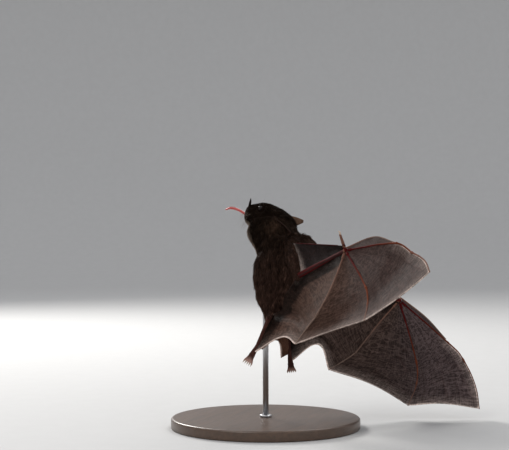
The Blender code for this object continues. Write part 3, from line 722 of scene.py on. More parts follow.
def build_sheet():
    """The whole membrane as one closed thin body, and its middle surface's places and measures."""
    bm, measures = stitched_panels()
    rim = [e for e in bm.edges if len(e.link_faces) == 1]
    border = np.array([[v.index for v in e.verts] for e in rim])
    middle, normals = ease_sheet(bm, border)
    loose = border[is_free_edge(measures[border])]
    tree = search_tree(middle[loose].mean(axis=1))
    free = np.array([tree.find(p)[2] for p in middle])
    ripple = 0.10 * waves(middle, 5.0, 3) * smoothstep(free, 0.5, 4.0)
    half = MEMBRANE_HALF + HEM * (1 - smoothstep(free, 0.15, 0.7))
    top = middle + normals * (ripple + half)[:, None]
    low = middle + normals * (ripple - half)[:, None]
    faces = thick_faces(bm, rim, len(middle))
    bm.free()
    sheet = mesh_object("sheet", np.concatenate([top, low]), faces, MEMBRANE_PART)
    return sheet, middle, normals, measures, free


# ---- bare bones, feet, ears and face -----------------------------------------------------
def tapered(path, radii, sides, *flattening):
    """A tube whose radii are read from a short list."""
    return tube(path, profile(radii, len(path)), sides, *flattening)


def finger_bone(path):
    """A finger's bones, with a small swelling at each joint."""
    place = np.linspace(0, 1, len(path))
    radius = profile(DIGIT_RADII, len(path))
    for joint in (0.0, 1 / 3, 2 / 3):
        radius = radius + KNUCKLE_SWELL * np.exp(-((place - joint) / KNUCKLE_BREADTH) ** 2)
    return tube(path, radius, 10)


def wing_bone_shapes(wing):
    wrist, elbow, thumb_tip = (wing.at[joint] for joint in ("wrist", "elbow", "thumb_tip"))
    forearm = spline([elbow, between(elbow, wrist, 0.5), wrist], 14)
    tendon = forearm + unit(np.cross(wrist - elbow, wing.palm)) * 0.95
    out = [
        tapered(forearm, FOREARM_RADII, 16, 0.82, wing.palm),
        tapered(tendon[3:-3], TENDON_RADII, 8),
        ball(elbow, ELBOW_RADIUS, (1, 1, 1.1)),
        ball(wrist, WRIST_RADIUS),
    ]
    for digit in (wing.digit3, wing.digit4, wing.digit5):
        path = digit[2:]
        out += [finger_bone(path), ball(between(path[0], path[3], 0.5), 0.75)]
    thumb = spline([wrist, between(wrist, thumb_tip, 0.45), thumb_tip], 8)
    return out + [
        tapered(wing.digit2, DIGIT2_RADII, 8),
        tapered(thumb[:-3], THUMB_RADII, 12),
        ball(between(wrist, thumb_tip, 0.22), 0.85, (1.1, 0.9, 1.2)),
        tube(wing.forward[3:-6], BRACE_RADIUS, 8),
    ]


def toe_paths(wing):
    """Each toe's centre line, as the solids have it, and the way that it curls."""
    ankle, toes = wing.at["ankle"], wing.at["toes"]
    sole_end = between(ankle, toes, SOLE_LENGTH)
    forward = unit(toes - ankle)
    across = unit(np.cross(forward, FOOT_FACES))
    curl = np.cross(forward, across)
    paths = []
    for k in range(TOE_COUNT):
        spread = k - (TOE_COUNT - 1) / 2
        root = sole_end + across * spread * 0.52
        middle = root + forward * TOE_LENGTH * 0.6 + across * spread * 0.35
        tip = middle + forward * TOE_LENGTH * 0.4 + across * spread * 0.15 + curl * 0.8
        paths.append(spline([root - forward * 1.6, root, middle, tip], 6))
    return paths, curl


def foot_shapes(wing):
    knee, ankle, toes = (wing.at[joint] for joint in ("knee", "ankle", "toes"))
    shin = spline([knee, between(knee, ankle, 0.5), ankle], 10)
    foot = straight([ankle, between(ankle, toes, SOLE_LENGTH)], [12])
    out = [tapered(shin, SHIN_RADII, 14), tapered(foot, FOOT_RADII, 14, 0.7, FOOT_FACES)]
    out += [tapered(path[:-3], TOE_RADII, 8) for path in toe_paths(wing)[0]]
    calcar = straight([ankle, wing.at["calcar_tip"]], [8])
    return out + [tapered(calcar, CALCAR_RADII, 8)]


def leaf_grid(length, width, cup, rows, columns):
    """The solids' pointed leaf, finer: along +X from its root, cupped about its long axis."""
    t = np.linspace(0, 1, rows + 1)[:, None]
    s = np.linspace(-1, 1, columns + 1)[None, :]
    half = width / 2 * np.sin(pi * (0.22 + 0.74 * t)) ** 0.8 * (1 - 0.25 * t)
    rise = cup * np.sin(pi * np.minimum(1.0, 0.25 + 0.75 * t))
    return np.stack([length * t + 0 * s, half * s, rise * (s * s - 0.5)], axis=-1), t, s


def thick_grid(grid, half):
    """A closed body from a grid of points, half to each side along its own normals."""
    rows, columns = grid.shape[:2]
    normals = unit(np.cross(np.gradient(grid, axis=0), np.gradient(grid, axis=1)))
    half = np.broadcast_to(half, (rows, columns))[..., None]
    top = (grid + normals * half).reshape(-1, 3)
    low = (grid - normals * half).reshape(-1, 3)
    count = rows * columns
    faces = grid_faces(rows, columns, closed=False)
    faces += [tuple(count + k for k in reversed(f)) for f in faces]
    places = np.arange(count).reshape(rows, columns)
    ring = [*places[0], *places[1:, -1], *places[-1, -2::-1], *places[-2:0:-1, 0]]
    for a, b in zip(ring, ring[1:] + ring[:1]):
        faces.append((a, a + count, b + count, b))
    return np.concatenate([top, low]), faces


def axes(origin, forward, up):
    """A frame's origin and rows, with +X forward and +Z as near to up as it can be."""
    forward = unit(np.asarray(forward, float))
    side = unit(np.cross(up, forward))
    return np.asarray(origin, float), np.stack([forward, side, np.cross(forward, side)])


def leaf_shape(grid, half, origin, rows):
    """A thick leaf set into a frame of the head."""
    points, faces = thick_grid(grid, half)
    return from_head(points @ rows + origin), faces


def ear_frame(sign):
    back, splay = EAR_BACK[sign], EAR_SPLAY[sign]
    reach = array(-sin(back) * cos(splay), sign * sin(splay), cos(back) * cos(splay))
    return axes(on_cheek(EAR_BASE[sign], sign) - reach * EAR_ROOT, reach, -array(0.15, sign, 0.25))


def ear_shapes(sign):
    """The ribbed ear with its folded rim, and the tragus."""
    origin, rows = ear_frame(sign)
    ear, t, s = leaf_grid(EAR_LENGTH + EAR_ROOT, EAR_WIDTH, -2.2, 44, 28)
    ridges = 0.10 * np.sin(t * 2 * pi * EAR_RIDGES)
    fold = smoothstep(np.abs(s), 0.78, 1.0) * (1 - 0.6 * t)
    ear[..., 2] += ridges * smoothstep(t, 0.2, 0.35) * (1 - smoothstep(t, 0.7, 0.9)) * (1 - s * s)
    ear[..., 2] -= 0.55 * fold
    half = 0.17 + 0.10 * smoothstep(np.abs(s), 0.8, 1.0) + 0.12 * (1 - smoothstep(t, 0.0, 0.3))
    tragus, tt, ts = leaf_grid(4.2, 1.7, -0.35, 14, 8)
    spot = origin + rows[0] * 2.6 - rows[2] * 0.5 + rows[1] * 1.2 * sign
    return [leaf_shape(ear, half, origin, rows),
            leaf_shape(tragus, 0.2 - 0.08 * tt + 0 * ts, *axes(spot, rows[0] - rows[2] * 0.45, rows[2]))]


def noseleaf_shapes():
    """The upright leaf with its rib, and the horseshoe round the nostrils."""
    leaf, t, s = leaf_grid(NOSELEAF_HEIGHT, 3.0, 0.4, 26, 14)
    rib = 0.22 * np.exp(-(s / 0.22) ** 2) * (1 - t)
    angle = np.linspace(-0.75 * pi, 0.75 * pi, 40)
    shoe = np.stack([14.72 - 0.3 * np.abs(np.sin(angle)) + 0.15 * np.cos(angle), 1.25 * np.sin(angle),
                     -1.7 - 0.95 * np.cos(angle)], axis=1)
    return [leaf_shape(leaf, 0.16 + rib, *axes(NOSELEAF_AT, (0.1, 0, 1), (-1, 0, 0))),
            in_head(tube(shoe, 0.2, 8))]


def torus(ring, radius, sides=8):
    """A closed tube round a closed ring of points."""
    outward = unit(ring - ring.mean(axis=0))
    tangent = unit(np.roll(ring, -1, axis=0) - np.roll(ring, 1, axis=0))
    up = np.cross(tangent, outward)
    turn = (np.arange(sides) * 2 * pi / sides)[None, :, None]
    points = ring[:, None, :] + radius * (np.cos(turn) * outward[:, None, :] + np.sin(turn) * up[:, None, :])
    last = (len(ring) - 1) * sides
    faces = grid_faces(len(ring), sides)
    for j in range(sides):
        k = (j + 1) % sides
        faces.append((last + j, last + k, k, j))
    return points.reshape(-1, 3), faces


def lid_shapes(sign):
    """The almond of the eyelids and the fold round them."""
    centre = on_cheek(EYE_AT, sign)
    outward = unit(on_cheek(EYE_FACES, sign))
    ahead = array(1.0, 0, -0.12)
    along = unit(ahead - outward * (outward @ ahead))
    above = np.cross(outward, along) * sign
    turn = np.linspace(0, 2 * pi, 49)[:-1]
    out = []
    for reach, size, lift in ((1.12, 0.30, 0.42), (1.5, 0.2, 0.0)):
        ring = (centre + outward * lift + np.outer(np.cos(turn) * reach * 1.12, along)
                + np.outer(np.sin(turn) * reach * 0.74, above))
        out.append(in_head(torus(ring, size)))
    return out


def lip_shape(sign):
    """The lower lip, from the mouth's corner to the chin."""
    lip = [head_skin(station, MOUTH_HEIGHT + 0.3) for station in (MOUTH_CORNER + 0.2, 10.4, 12.0, 13.2, 14.2)]
    lip = np.array([*lip, (14.85, 0.15, MOUTH_HEIGHT + 0.26)])
    lip[:, 1] *= sign
    lip -= array(0.3, 0, 0.85)
    lip[:, 1] *= 0.95
    return in_head(tube(spline(lip, 8), 0.27, 8))


def face_shapes():
    out = noseleaf_shapes()
    for sign in SIDES.values():
        out += lid_shapes(sign)
    return out + [lip_shape(sign) for sign in SIDES.values()]


def carve_shapes():
    """What is cut out of the face: the mouth's slit, the nostrils, eye sockets, the lower lip's groove."""
    low, high = MOUTH_HEIGHT - 0.7, MOUTH_HEIGHT + 0.02
    wedge = np.array([(MOUTH_CORNER, y, MOUTH_HEIGHT - 0.2) for y in (-6, 6)]
                     + [(17.0, y, z) for z in (low, high) for y in (-6, 6)])
    out = [in_head((wedge, [(0, 1, 3, 2), (0, 4, 5, 1), (2, 3, 5, 4), (0, 2, 4), (1, 5, 3)]))]
    nostril = ((15.6, 0.95, -1.75), (14.4, 0.6, -1.6), (13.6, 0.4, -1.6))
    for sign in SIDES.values():
        out.append(in_head(tube([on_cheek(point, sign) for point in nostril], 0.33, 10)))
        out.append(in_head(ball(on_cheek(EYE_AT, sign), EYE_RADIUS + 0.03)))
    groove = ((15.1, 0, -4.9), (14.5, 0, -6.0), (13.2, 0, -7.1))
    return out + [in_head(tube(groove, 0.28, 8))]


def combine(base, operation, **operand):
    """One Boolean of another object, or of a whole collection, with the base."""
    boolean = base.modifiers.new(operation, "BOOLEAN")
    boolean.operation = operation
    boolean.solver = "MANIFOLD"
    for key, value in operand.items():
        setattr(boolean, key, value)
    bpy.context.view_layer.update()
    evaluated(base)


def combine_shapes(base, shapes, operation):
    """One Boolean of many closed shapes with the base."""
    group = bpy.data.collections.new(operation)
    bpy.context.scene.collection.children.link(group)
    for points, faces, part in shapes:
        obj = mesh_object("shape", points, faces, part)
        bpy.context.scene.collection.objects.unlink(obj)
        group.objects.link(obj)
    combine(base, operation, operand_type="COLLECTION", collection=group)
    for obj in list(group.objects):
        bpy.data.objects.remove(obj, do_unlink=True)
    bpy.data.collections.remove(group)


def build_skin(core, sheet):
    skin = link("skin", core.data.copy())
    skin.data.attributes.new("part", "INT", "FACE")
    shapes = []
    for wing in WINGS.values():
        shapes += [(*s, BONE_PART) for s in wing_bone_shapes(wing)]
        shapes += [(*s, FOOT_PART) for s in foot_shapes(wing)]
        shapes += [(*s, EAR_PART) for s in ear_shapes(wing.sign)]
    shapes.append((*tapered(straight([RUMP, TAIL_TIP], [12]), TAIL_RADII, 10), FOOT_PART))
    shapes += [(*s, FACE_PART) for s in face_shapes()]
    combine_shapes(skin, shapes, "UNION")
    combine_shapes(skin, [(*s, FACE_PART) for s in carve_shapes()], "DIFFERENCE")
    combine(skin, "UNION", object=sheet)
    return skin


# ---- colours ----------------------------------------------------------------------------
def linear(r, g, b):
    """A display colour in 0..255 as linear values."""
    c = np.array([r, g, b]) / 255
    return np.where(c <= 0.04045, c / 12.92, ((c + 0.055) / 1.055) ** 2.4)


FUR_DARK = linear(30, 22, 17)
FUR_WARM = linear(76, 56, 48)
FUR_PALE = linear(84, 64, 52)
# painted rim light on the fur of the throat and groin
FUR_RIM_LIGHT = linear(150, 132, 118)
ARM_WEB = linear(66, 50, 43)
HAND_WEB = linear(57, 45, 42)
FOREWEB = linear(33, 27, 26)
FAR_WEB = array(0.97, 1.1, 1.22)         # the right wing is a little greyer
SHADE_WEB = linear(32, 25, 22)
TAIL_WEB = linear(72, 46, 34)
# painted rim light on the membranes' edges
RIM_LIGHT_WEB = linear(206, 188, 178)
BONE_RED = linear(72, 20, 20)
BONE_DARK = linear(52, 36, 35)
BONE_ORANGE = linear(104, 56, 38)
BONE_PALE = linear(120, 100, 90)
EAR_TAN = linear(100, 78, 64)
EAR_DARK = linear(44, 31, 26)
FACE_BROWN = linear(24, 17, 14)
FACE_PINK = linear(44, 29, 25)
FOOT_BROWN = linear(66, 42, 37)
# pink toe skin, paled as a painted highlight
TOE_PINK_HIGHLIGHT = linear(176, 142, 130)
EYE_DARK = linear(14, 10, 9)
IRIS_BROWN = linear(34, 20, 13)
FOREARM_FACES = (1.0, 0.15, -0.4)       # the way that the flat between the forearm's two red tendons faces


def mix(a, b, share):
    share = np.asarray(share)[:, None]
    return a * (1 - share) + b * share


def mottled(colour, points, amount, scale, seed):
    return colour * (1 + amount * waves(points, scale, seed))[:, None]


def coat_colour(points):
    """The animal's markings on its furry parts, with painted light: lighter down the trunk and a pale rim
    light on the throat and groin; for the coat and for the skin beneath it.
    """
    x, y, z = points.T
    ahead, beside, above = to_head(points).T
    # painted light: lighter down the trunk, standing in for the lamps that reach the trunk's side poorly
    colour = mix(FUR_DARK, FUR_WARM, 0.85 * (1 - smoothstep(z, -34.0, 15.0)))
    colour = mix(colour, FUR_WARM, 0.35 * smoothstep(y, -4.0, 5.0))
    # painted rim light: the throat's and groin's midline fur made pale
    midline = 1 - smoothstep(np.abs(x), 1.0, 4.0)
    chin = smoothstep(-above, 6.2, 8.0) * smoothstep(ahead, -4.0, 0.0)
    groin = smoothstep(-z, 27.0, 33.0) * smoothstep(-y, 10.0, 13.0)
    colour = mix(colour, FUR_RIM_LIGHT, 0.75 * midline * np.maximum(chin, groin))
    ear_base = np.exp(-(((ahead + 3.5) / 3.5) ** 2 + ((above + 1.5) / 3.0) ** 2)) * (np.abs(beside) > 4)
    colour = mix(colour, FUR_PALE, 0.4 * ear_base)
    return mottled(colour, points, 0.14, 4.5, 8)


def web_colour(points, across, down, free):
    """The membranes: darker beside the body, near the knee and under the forearm, from fur and painted shade,
    with painted rim light on the pale free edges.
    """
    forward = across < 1.0
    flank = (across > 1.0) & (across < 2.0)
    right = points[:, 0] < 0
    colour = mix(ARM_WEB, HAND_WEB, smoothstep(across, 1.9, 3.3))
    colour = mix(colour, FOREWEB, 1 - smoothstep(across, 0.97, 1.03))
    colour = mix(colour, TAIL_WEB, smoothstep(across, 4.99, 5.01))
    # painted shade: the membrane beside the body darkened where the body blocks the light, over the fur there
    strip = 1 - smoothstep(nearer_wing(lambda wing: past_shade(points, wing)), -0.8, 1.0)
    colour = mix(colour, SHADE_WEB, 0.9 * strip * flank)
    # painted shade: the membrane darkened near the knee, where its fold faces the lamps
    knee = nearer_wing(lambda wing: np.linalg.norm(points - wing.at["knee"], axis=1))
    colour = colour * (1 - 0.55 * (1 - smoothstep(knee, 4.0, 9.0)) * flank)[:, None]
    # painted shade: a dark band under the forearm, over the membrane's fur there, weaker on the right wing
    arm = nearer_wing(lambda wing: line_distance(points, wing.forearm)[0])
    by_arm = np.where(right, 0.4, 0.9) * flank * (1 - smoothstep(arm, 6.5, 8.2))
    colour = mix(colour, 0.45 * SHADE_WEB, by_arm)
    colour = colour * (1.0 + 0.10 * waves(points, 11.0, 21) + 0.05 * waves(points, 2.6, 5))[:, None]
    far = FAR_WEB * mix(0.78 * colour, 1.25 * colour, smoothstep(across, 2.6, 3.4))
    colour = np.where((right & (across > 1.0))[:, None], far, colour)
    # painted rim light: a pale inner border of the forward membrane, pale free edges and a faint pale band
    # beside them
    colour = mix(colour, RIM_LIGHT_WEB, 0.5 * forward * smoothstep(down, 0.78, 0.96))
    edge = 1 - smoothstep(free, 0.25, 0.85)
    colour = mix(colour, RIM_LIGHT_WEB, 0.9 * edge * ~forward)
    colour = mix(colour, BONE_RED, 0.8 * edge * forward)
    return mix(colour, RIM_LIGHT_WEB, 0.10 * (1 - smoothstep(free, 0.5, 5.5)) * ((across > 1.0) & (across < 4.5)))


def bone_colour(points):
    """Red at the wrist, orange along the fingers and pale towards their tips; the forearm dark and red."""
    best = np.full(len(points), 1e9)
    where = np.zeros(len(points))
    for wing in WINGS.values():
        for path, first, last in ((wing.digit2, 0.55, 1.0), (wing.digit3, 0.0, 0.65), (wing.digit4, 0.0, 0.7),
                                  (wing.digit5, 0.55, 1.0)):
            away, place = line_distance(points, path[::4])
            near = away < best
            best[near], where[near] = away[near], first + (last - first) * place[near]
    colour = mix(BONE_RED, BONE_ORANGE, smoothstep(where, 0.05, 0.30))
    colour = mix(colour, BONE_PALE, smoothstep(where, 0.35, 0.8))
    for wing in WINGS.values():
        brace = line_distance(points, wing.forward)[0] < np.minimum(best, 0.9)
        colour[brace] = 0.7 * BONE_RED
        elbow, wrist = wing.at["elbow"], wing.at["wrist"]
        across = unit(np.cross(wrist - elbow, mirrored(FOREARM_FACES, wing.side)))
        arm = mix(BONE_DARK, BONE_RED, smoothstep(np.abs((points - elbow) @ across), 0.25, 0.6))
        away = line_distance(points, wing.forearm[::4])[0]
        near = (away < best) & (away < 3.0)
        colour[near] = arm[near]
    return mottled(colour, points, 0.12, 3.0, 14)


def ear_colour(points):
    head = to_head(points)
    reach = np.full(len(points), -9.0)
    for sign in SIDES.values():
        origin, rows = ear_frame(sign)
        mine = np.sign(head[:, 1]) == sign
        reach[mine] = ((head - origin) @ rows[0])[mine]
    t = np.clip(reach / (EAR_LENGTH + EAR_ROOT), 0, 1)
    colour = mix(EAR_DARK, EAR_TAN, smoothstep(t, 0.15, 0.75))
    colour = np.where(head[:, 1:2] > 0, 0.28 * FUR_WARM, colour)
    return mottled(colour, points, 0.12, 2.2, 31)


def face_colour(points):
    ahead, _, above = to_head(points).T
    colour = mix(FACE_BROWN, FACE_PINK, 0.7 * smoothstep(ahead, 12.5, 15.0))
    # painted shade along the mouth's slit
    colour[(np.abs(above - MOUTH_HEIGHT + 0.25) < 0.28) & (ahead > MOUTH_CORNER)] *= 0.45
    return mottled(colour, points, 0.15, 1.6, 41)


def foot_colour(points):
    # pink toes, paled towards the tips as a painted highlight
    tips = nearer_wing(lambda wing: np.linalg.norm(points - wing.at["toes"], axis=1))
    colour = mix(FOOT_BROWN, TOE_PINK_HIGHLIGHT, 1 - smoothstep(tips, 1.5, 4.5))
    return mottled(colour, points, 0.15, 1.8, 51)


def bareness(points):
    """1 on the bare nose and eye rims, 0 on fur."""
    head = to_head(points)
    bare = smoothstep(head[:, 0], 13.2, 14.2)
    for sign in SIDES.values():
        away = np.linalg.norm(head - on_cheek(EYE_AT, sign), axis=1)
        bare = np.maximum(bare, 1 - smoothstep(away, 1.5, 2.2))
    return bare


FAR_GRAIN = 0.9                # the far wing's net shows more
LOOKS = {                      # membrane share, grain, shine
    BODY_PART: (0.0, 0.3, 0.2), MEMBRANE_PART: (1.0, 0.5, 0.6), BONE_PART: (0.0, 0.5, 0.6),
    EAR_PART: (0.0, 1.0, 0.4), FOOT_PART: (0.0, 1.0, 0.4), FACE_PART: (0.0, 0.8, 0.6),
}


def paint_skin(skin, middle, measures, free):
    """Colour, finish and membrane places, as attributes of the skin's mesh."""
    mesh = skin.data
    points = body_places(mesh)
    part = read(mesh.attributes["part"].data, "value", 1, np.int32)
    corners = read(mesh.loops, "vertex_index", 1, np.int32)
    corner_part = np.repeat(part, read(mesh.polygons, "loop_total", 1, np.int32))

    tree = search_tree(middle)
    web = np.unique(corners[corner_part == MEMBRANE_PART])
    nearest = np.array([tree.find(p)[1] for p in points[web]])
    place = np.zeros((len(points), 3))       # down, across and from the free edge
    place[web] = np.stack([measures[nearest, 1], np.abs(measures[nearest, 0]), free[nearest]], axis=1)
    far = np.zeros(len(points), bool)
    far[web] = measures[nearest, 0] < 0

    face = face_colour(points)
    tones = {
        BODY_PART: mix(coat_colour(points) * 0.8, face, bareness(points)),
        BONE_PART: bone_colour(points),
        EAR_PART: ear_colour(points),
        FACE_PART: face,
        FOOT_PART: foot_colour(points),
        MEMBRANE_PART: web_colour(points, place[:, 1], place[:, 0], place[:, 2]),
    }
    tone = np.ones((len(corners), 4), np.float32)
    look = np.ones((len(corners), 4), np.float32)
    for key, colours in tones.items():
        mine = corner_part == key
        tone[mine, :3] = np.clip(colours[corners[mine]], 0, 1)
        look[mine, :3] = LOOKS[key]
    look[(corner_part == MEMBRANE_PART) & far[corners], 1] = FAR_GRAIN
    store(mesh, "tone", "FLOAT_COLOR", "CORNER", tone)
    store(mesh, "look", "FLOAT_COLOR", "CORNER", look)
    store(mesh, "place", "FLOAT_VECTOR", "POINT", place.astype(np.float32))
    mesh.attributes.remove(mesh.attributes["part"])
    mesh.shade_smooth()


# ---- the coat ---------------------------------------------------------------------------
HEAD_STATIONS = (-9.0, -3.0, 2.0, 5.0, 8.0, 11.0, 13.5, 15.0)
HEAD_LENGTHS = (3.6, 3.0, 2.4, 1.7, 1.1, 0.75, 0.5, 0.3)       # of hairs, at those stations
LONGEST_STATIONS = (-4.0, 2.0, 6.0, 10.0, 14.0)
LONGEST = (9.0, 3.0, 2.2, 1.7, 1.0)        # no hair of the face is longer than this
FLOW_REACH = 1.6                           # how far one region's lie fades into the next
HAIR_LIFT = 0.36
BRIGHT_SHARE = 0.12                        # of the hairs
BRIGHT = 2.2
TUFT_FACES = np.array([(0, 2, 1), (0, 1, 4), (0, 4, 3), (1, 2, 5), (1, 5, 4), (2, 0, 3), (2, 3, 5),
                       (3, 4, 6), (4, 5, 6), (5, 3, 6)])
TUFT_SHADE = np.array([0.62, 0.62, 0.62, 0.95, 0.95, 0.95, 1.3])       # dark roots and pale tips
TUFT_PLACES = PATCH * np.array([(-0.5, -0.5), (0.5, -0.5), (0.0, -0.4), (-0.5, 0.1), (0.5, 0.1), (0.0, 0.2),
                                (0.0, 0.5)])


def flow_and_length(points):
    """Which way the coat lies at each place, and how long it is there."""
    ahead, _, above = to_head(points).T
    regions = [                 # middle line, radius, way, length
        (array((0, -7, 4), (0, -8, -20), (0, -9, -40)), 8.0, array(0, -0.05, -1.0), 4.4),
        (array((0, -11, 15), (0, -8, 4)), 8.0, array(0, 0.0, -1.0), 4.0),
        (from_head([(-7, 0, -1), (5, 0, -1), (13, 0, -1.5)]), 5.0, HEAD_TURN @ array(-1.0, 0, -0.12),
         np.interp(ahead, HEAD_STATIONS, HEAD_LENGTHS)),
    ]
    for wing in WINGS.values():
        shoulder, elbow, hip, knee = (wing.at[joint] for joint in ("shoulder", "elbow", "hip", "knee"))
        regions.append((wing.arm, 2.6, unit(elbow - shoulder), 2.6))
        regions.append((np.array([hip, knee]), 1.6, unit(knee - hip), 1.8))
    flow = np.zeros((len(points), 3))
    length = np.zeros(len(points))
    weight = np.zeros(len(points))
    for path, radius, way, long in regions:
        away = np.maximum(line_distance(points, path)[0] - radius, 0)
        share = np.exp(-(away / FLOW_REACH) ** 2) + 1e-5
        flow += share[:, None] * way
        length += share * long
        weight += share
    longest = np.interp(ahead, LONGEST_STATIONS, LONGEST) + 0.4 * np.maximum(-7.0 - above, 0)
    return unit(flow), np.minimum(length / weight, longest)


def sample(mesh, count, accept, dice):
    """Seeded points on a mesh, with normals, where accept(points) is a share to keep."""
    mesh.calc_loop_triangles()
    tri = read(mesh.loop_triangles, "vertices", 3, np.int32)
    places = body_places(mesh)
    normal = read(mesh.vertices, "normal", 3) @ BODY_TURN
    a, b, c = (places[tri[:, k]] for k in range(3))
    area = np.linalg.norm(np.cross(b - a, c - a), axis=1) * accept((a + b + c) / 3)
    chosen = dice.choice(len(tri), size=count, p=area / area.sum())
    u, v = dice.random(count), dice.random(count)
    flip = u + v > 1
    u[flip], v[flip] = 1 - u[flip], 1 - v[flip]
    w = np.stack([1 - u - v, u, v], axis=1)[..., None]
    return (places[tri[chosen]] * w).sum(axis=1), unit((normal[tri[chosen]] * w).sum(axis=1))


def tuft_points(roots, normals, flow, length, width, lift):
    """Seven points of each closed spike, which lifts off at its root and lies along the flow."""
    tangent = unit(flow - normals * (flow * normals).sum(axis=1, keepdims=True))
    side = np.cross(normals, tangent)
    length, width, lift = length[:, None], width[:, None], lift[:, None]
    start = roots - normals * (0.015 + 0.02 * length)
    first = tangent * np.cos(lift) + normals * np.sin(lift)
    second = tangent * np.cos(lift * 0.25) + normals * np.sin(lift * 0.25)
    middle = start + first * length * 0.45
    corners = [centre + side * width * size * across + normals * width * size * out
               for centre, size in ((start, 0.8), (middle, 1.0))
               for across, out in ((-0.5, 0.0), (0.5, 0.0), (0.0, 0.38))]
    return np.stack([*corners, middle + second * length * 0.55], axis=1)


def tuft_mesh(name, points, tones, places):
    """One joined mesh of closed spikes, each with its colour and its patch of the bake map."""
    count, sides = points.shape[:2]
    faces = (TUFT_FACES[None] + sides * np.arange(count)[:, None, None]).reshape(-1, 3).astype(np.int32)
    mesh = bpy.data.meshes.new(name)
    mesh.vertices.add(count * sides)
    mesh.vertices.foreach_set("co", to_row(points.reshape(-1, 3)).astype(np.float32).ravel())
    mesh.loops.add(faces.size)
    mesh.loops.foreach_set("vertex_index", faces.ravel())
    mesh.polygons.add(len(faces))
    mesh.polygons.foreach_set("loop_start", np.arange(0, faces.size, 3, dtype=np.int32))
    mesh.update(calc_edges=True)
    mesh.shade_smooth()
    colour = np.ones((count, sides, 4), np.float32)
    colour[..., :3] = np.clip(tones[:, None, :] * TUFT_SHADE[None, :, None], 0, 1)
    store(mesh, "tone", "FLOAT_COLOR", "POINT", colour)
    store_map(mesh, (places[:, None, :] + TUFT_PLACES[None]).reshape(-1, 2), faces.ravel())
    return link(name, mesh)


def unroll(points, axis_low, axis_high, zero):
    """Cylindrical unwrap of places about an axis, inside the unit square."""
    axis = axis_high - axis_low
    down = unit(axis)
    first = unit(zero - down * (zero @ down))
    second = np.cross(down, first)
    off = points - axis_low
    u = 0.5 + np.arctan2(off @ second, off @ first) / (2 * pi)
    v = off @ axis / (axis @ axis)
    return np.stack([0.01 + 0.98 * u, np.clip(0.01 + 0.98 * v, 0.01, 0.99)], axis=1)


def hairs(name, mesh, count, accept, unwrap, fine=1.0):
    dice = np.random.default_rng(sum(map(ord, name)))
    roots, normals = sample(mesh, count, accept, dice)
    flow, length = flow_and_length(roots)
    drawn_out = roots - 0.8 * flow * (roots * flow).sum(axis=1, keepdims=True)
    clump = waves(drawn_out, 1.5, 72)
    swirl = 0.22 * np.stack([waves(roots, 4.0, seed) for seed in (61, 62, 63)], axis=1)
    flow = unit(flow + swirl + dice.normal(0, 0.12, (count, 3)))
    length = length * dice.uniform(0.7, 1.2, count)
    width = (0.06 + 0.03 * length) * dice.uniform(0.8, 1.3, count) * fine
    lift = HAIR_LIFT + 0.08 * waves(roots, 3.0, 71) + 0.10 * clump + dice.normal(0, 0.08, count)
    shade = dice.uniform(0.4, 1.5, count) * np.where(dice.random(count) < BRIGHT_SHARE, BRIGHT, 1.0)
    tones = coat_colour(roots) * (shade * np.exp(0.4 * clump))[:, None]
    points = tuft_points(roots, normals, flow, length, width, np.clip(lift, 0.08, 0.8))
    return tuft_mesh(name, points, tones, unwrap(roots))


def is_head(points):
    """Core places that belong to the head: ahead of the line behind the ears."""
    ahead, _, above = to_head(points).T
    return (ahead > -7.0) & (above > -8.6 - 0.1 * ahead) & (points[:, 2] > 9.0)


def is_limb(points):
    near = np.zeros(len(points), bool)
    for wing in WINGS.values():
        away, place = line_distance(points, wing.arm)
        near |= (away < 1.25 * np.interp(place, (0, 0.5, 1), wing.arm_radii)) & (place > 0.45)
        away, place = line_distance(points, wing.thigh)
        near |= (away < 1.3 * np.interp(place, (0, 1), THIGH_RADII)) & (place > 0.35)
    return near


def face_share(points):
    """The face's hairs: none in the mouth's slit, on the nose or round the eyes."""
    ahead, _, above = to_head(points).T
    slit = (np.abs(above - MOUTH_HEIGHT + 0.2) < 0.5) & (ahead > MOUTH_CORNER - 0.3)
    furred = np.where(slit, 0.0, 1 - np.clip(bareness(points) * 1.3, 0, 1))
    return (is_head(points) & (ahead > 3.0)) * furred


def crown_share(points):
    return (is_head(points) & (to_head(points)[:, 0] <= 3.0)).astype(float)


def body_share(low, high):
    """The trunk and neck between two levels."""
    def share(points):
        level = points[:, 2]
        return ((level >= low) & (level < high) & ~is_head(points) & ~is_limb(points)).astype(float)
    return share


def limb_share(points):
    return (is_limb(points) & ~is_head(points)).astype(float)


def face_map(points):
    return unroll(points, *from_head([(-11, 0, -1), (15.5, 0, -1.5)]), HEAD_TURN @ array(0, 0, -1.0))


def body_map(points):
    return unroll(points, array(0, -8.5, -42), array(0, -9, 20), array(0, 1.0, 0))


def limb_map(points):
    """Each arm and thigh unrolled in its own quarter of the map."""
    limbs = [np.array([wing.at[inner], wing.at[outer]]) for wing in WINGS.values()
             for inner, outer in (("shoulder", "elbow"), ("hip", "knee"))]
    nearest = np.argmin([line_distance(points, limb)[0] for limb in limbs], axis=0)
    uv = np.empty((len(points), 2))
    for k, limb in enumerate(limbs):
        mine = nearest == k
        corner = array(k // 2, k % 2) * 0.5 + 0.004
        uv[mine] = unroll(points[mine], *limb, array(0, 1.0, 0.3)) * 0.49 + corner
    return uv


COAT = (                       # piece, share of the tufts, where, map, fineness
    ("coat_face", 0.9, face_share, face_map, 0.8),
    ("coat_crown", 1.0, crown_share, face_map, 0.9),
    ("coat_neck", 1.0, body_share(3.0, 40.0), body_map, 1.0),
    ("coat_chest", 1.0, body_share(-14.0, 3.0), body_map, 1.0),
    ("coat_belly", 1.0, body_share(-60.0, -14.0), body_map, 1.0),
    ("coat_limbs", 0.9, limb_share, limb_map, 1.0),
)


def build_coat(core):
    return [hairs(name, core.data, int(TUFTS_PER_PIECE * share), accept, unwrap, fine)
            for name, share, accept, unwrap, fine in COAT]


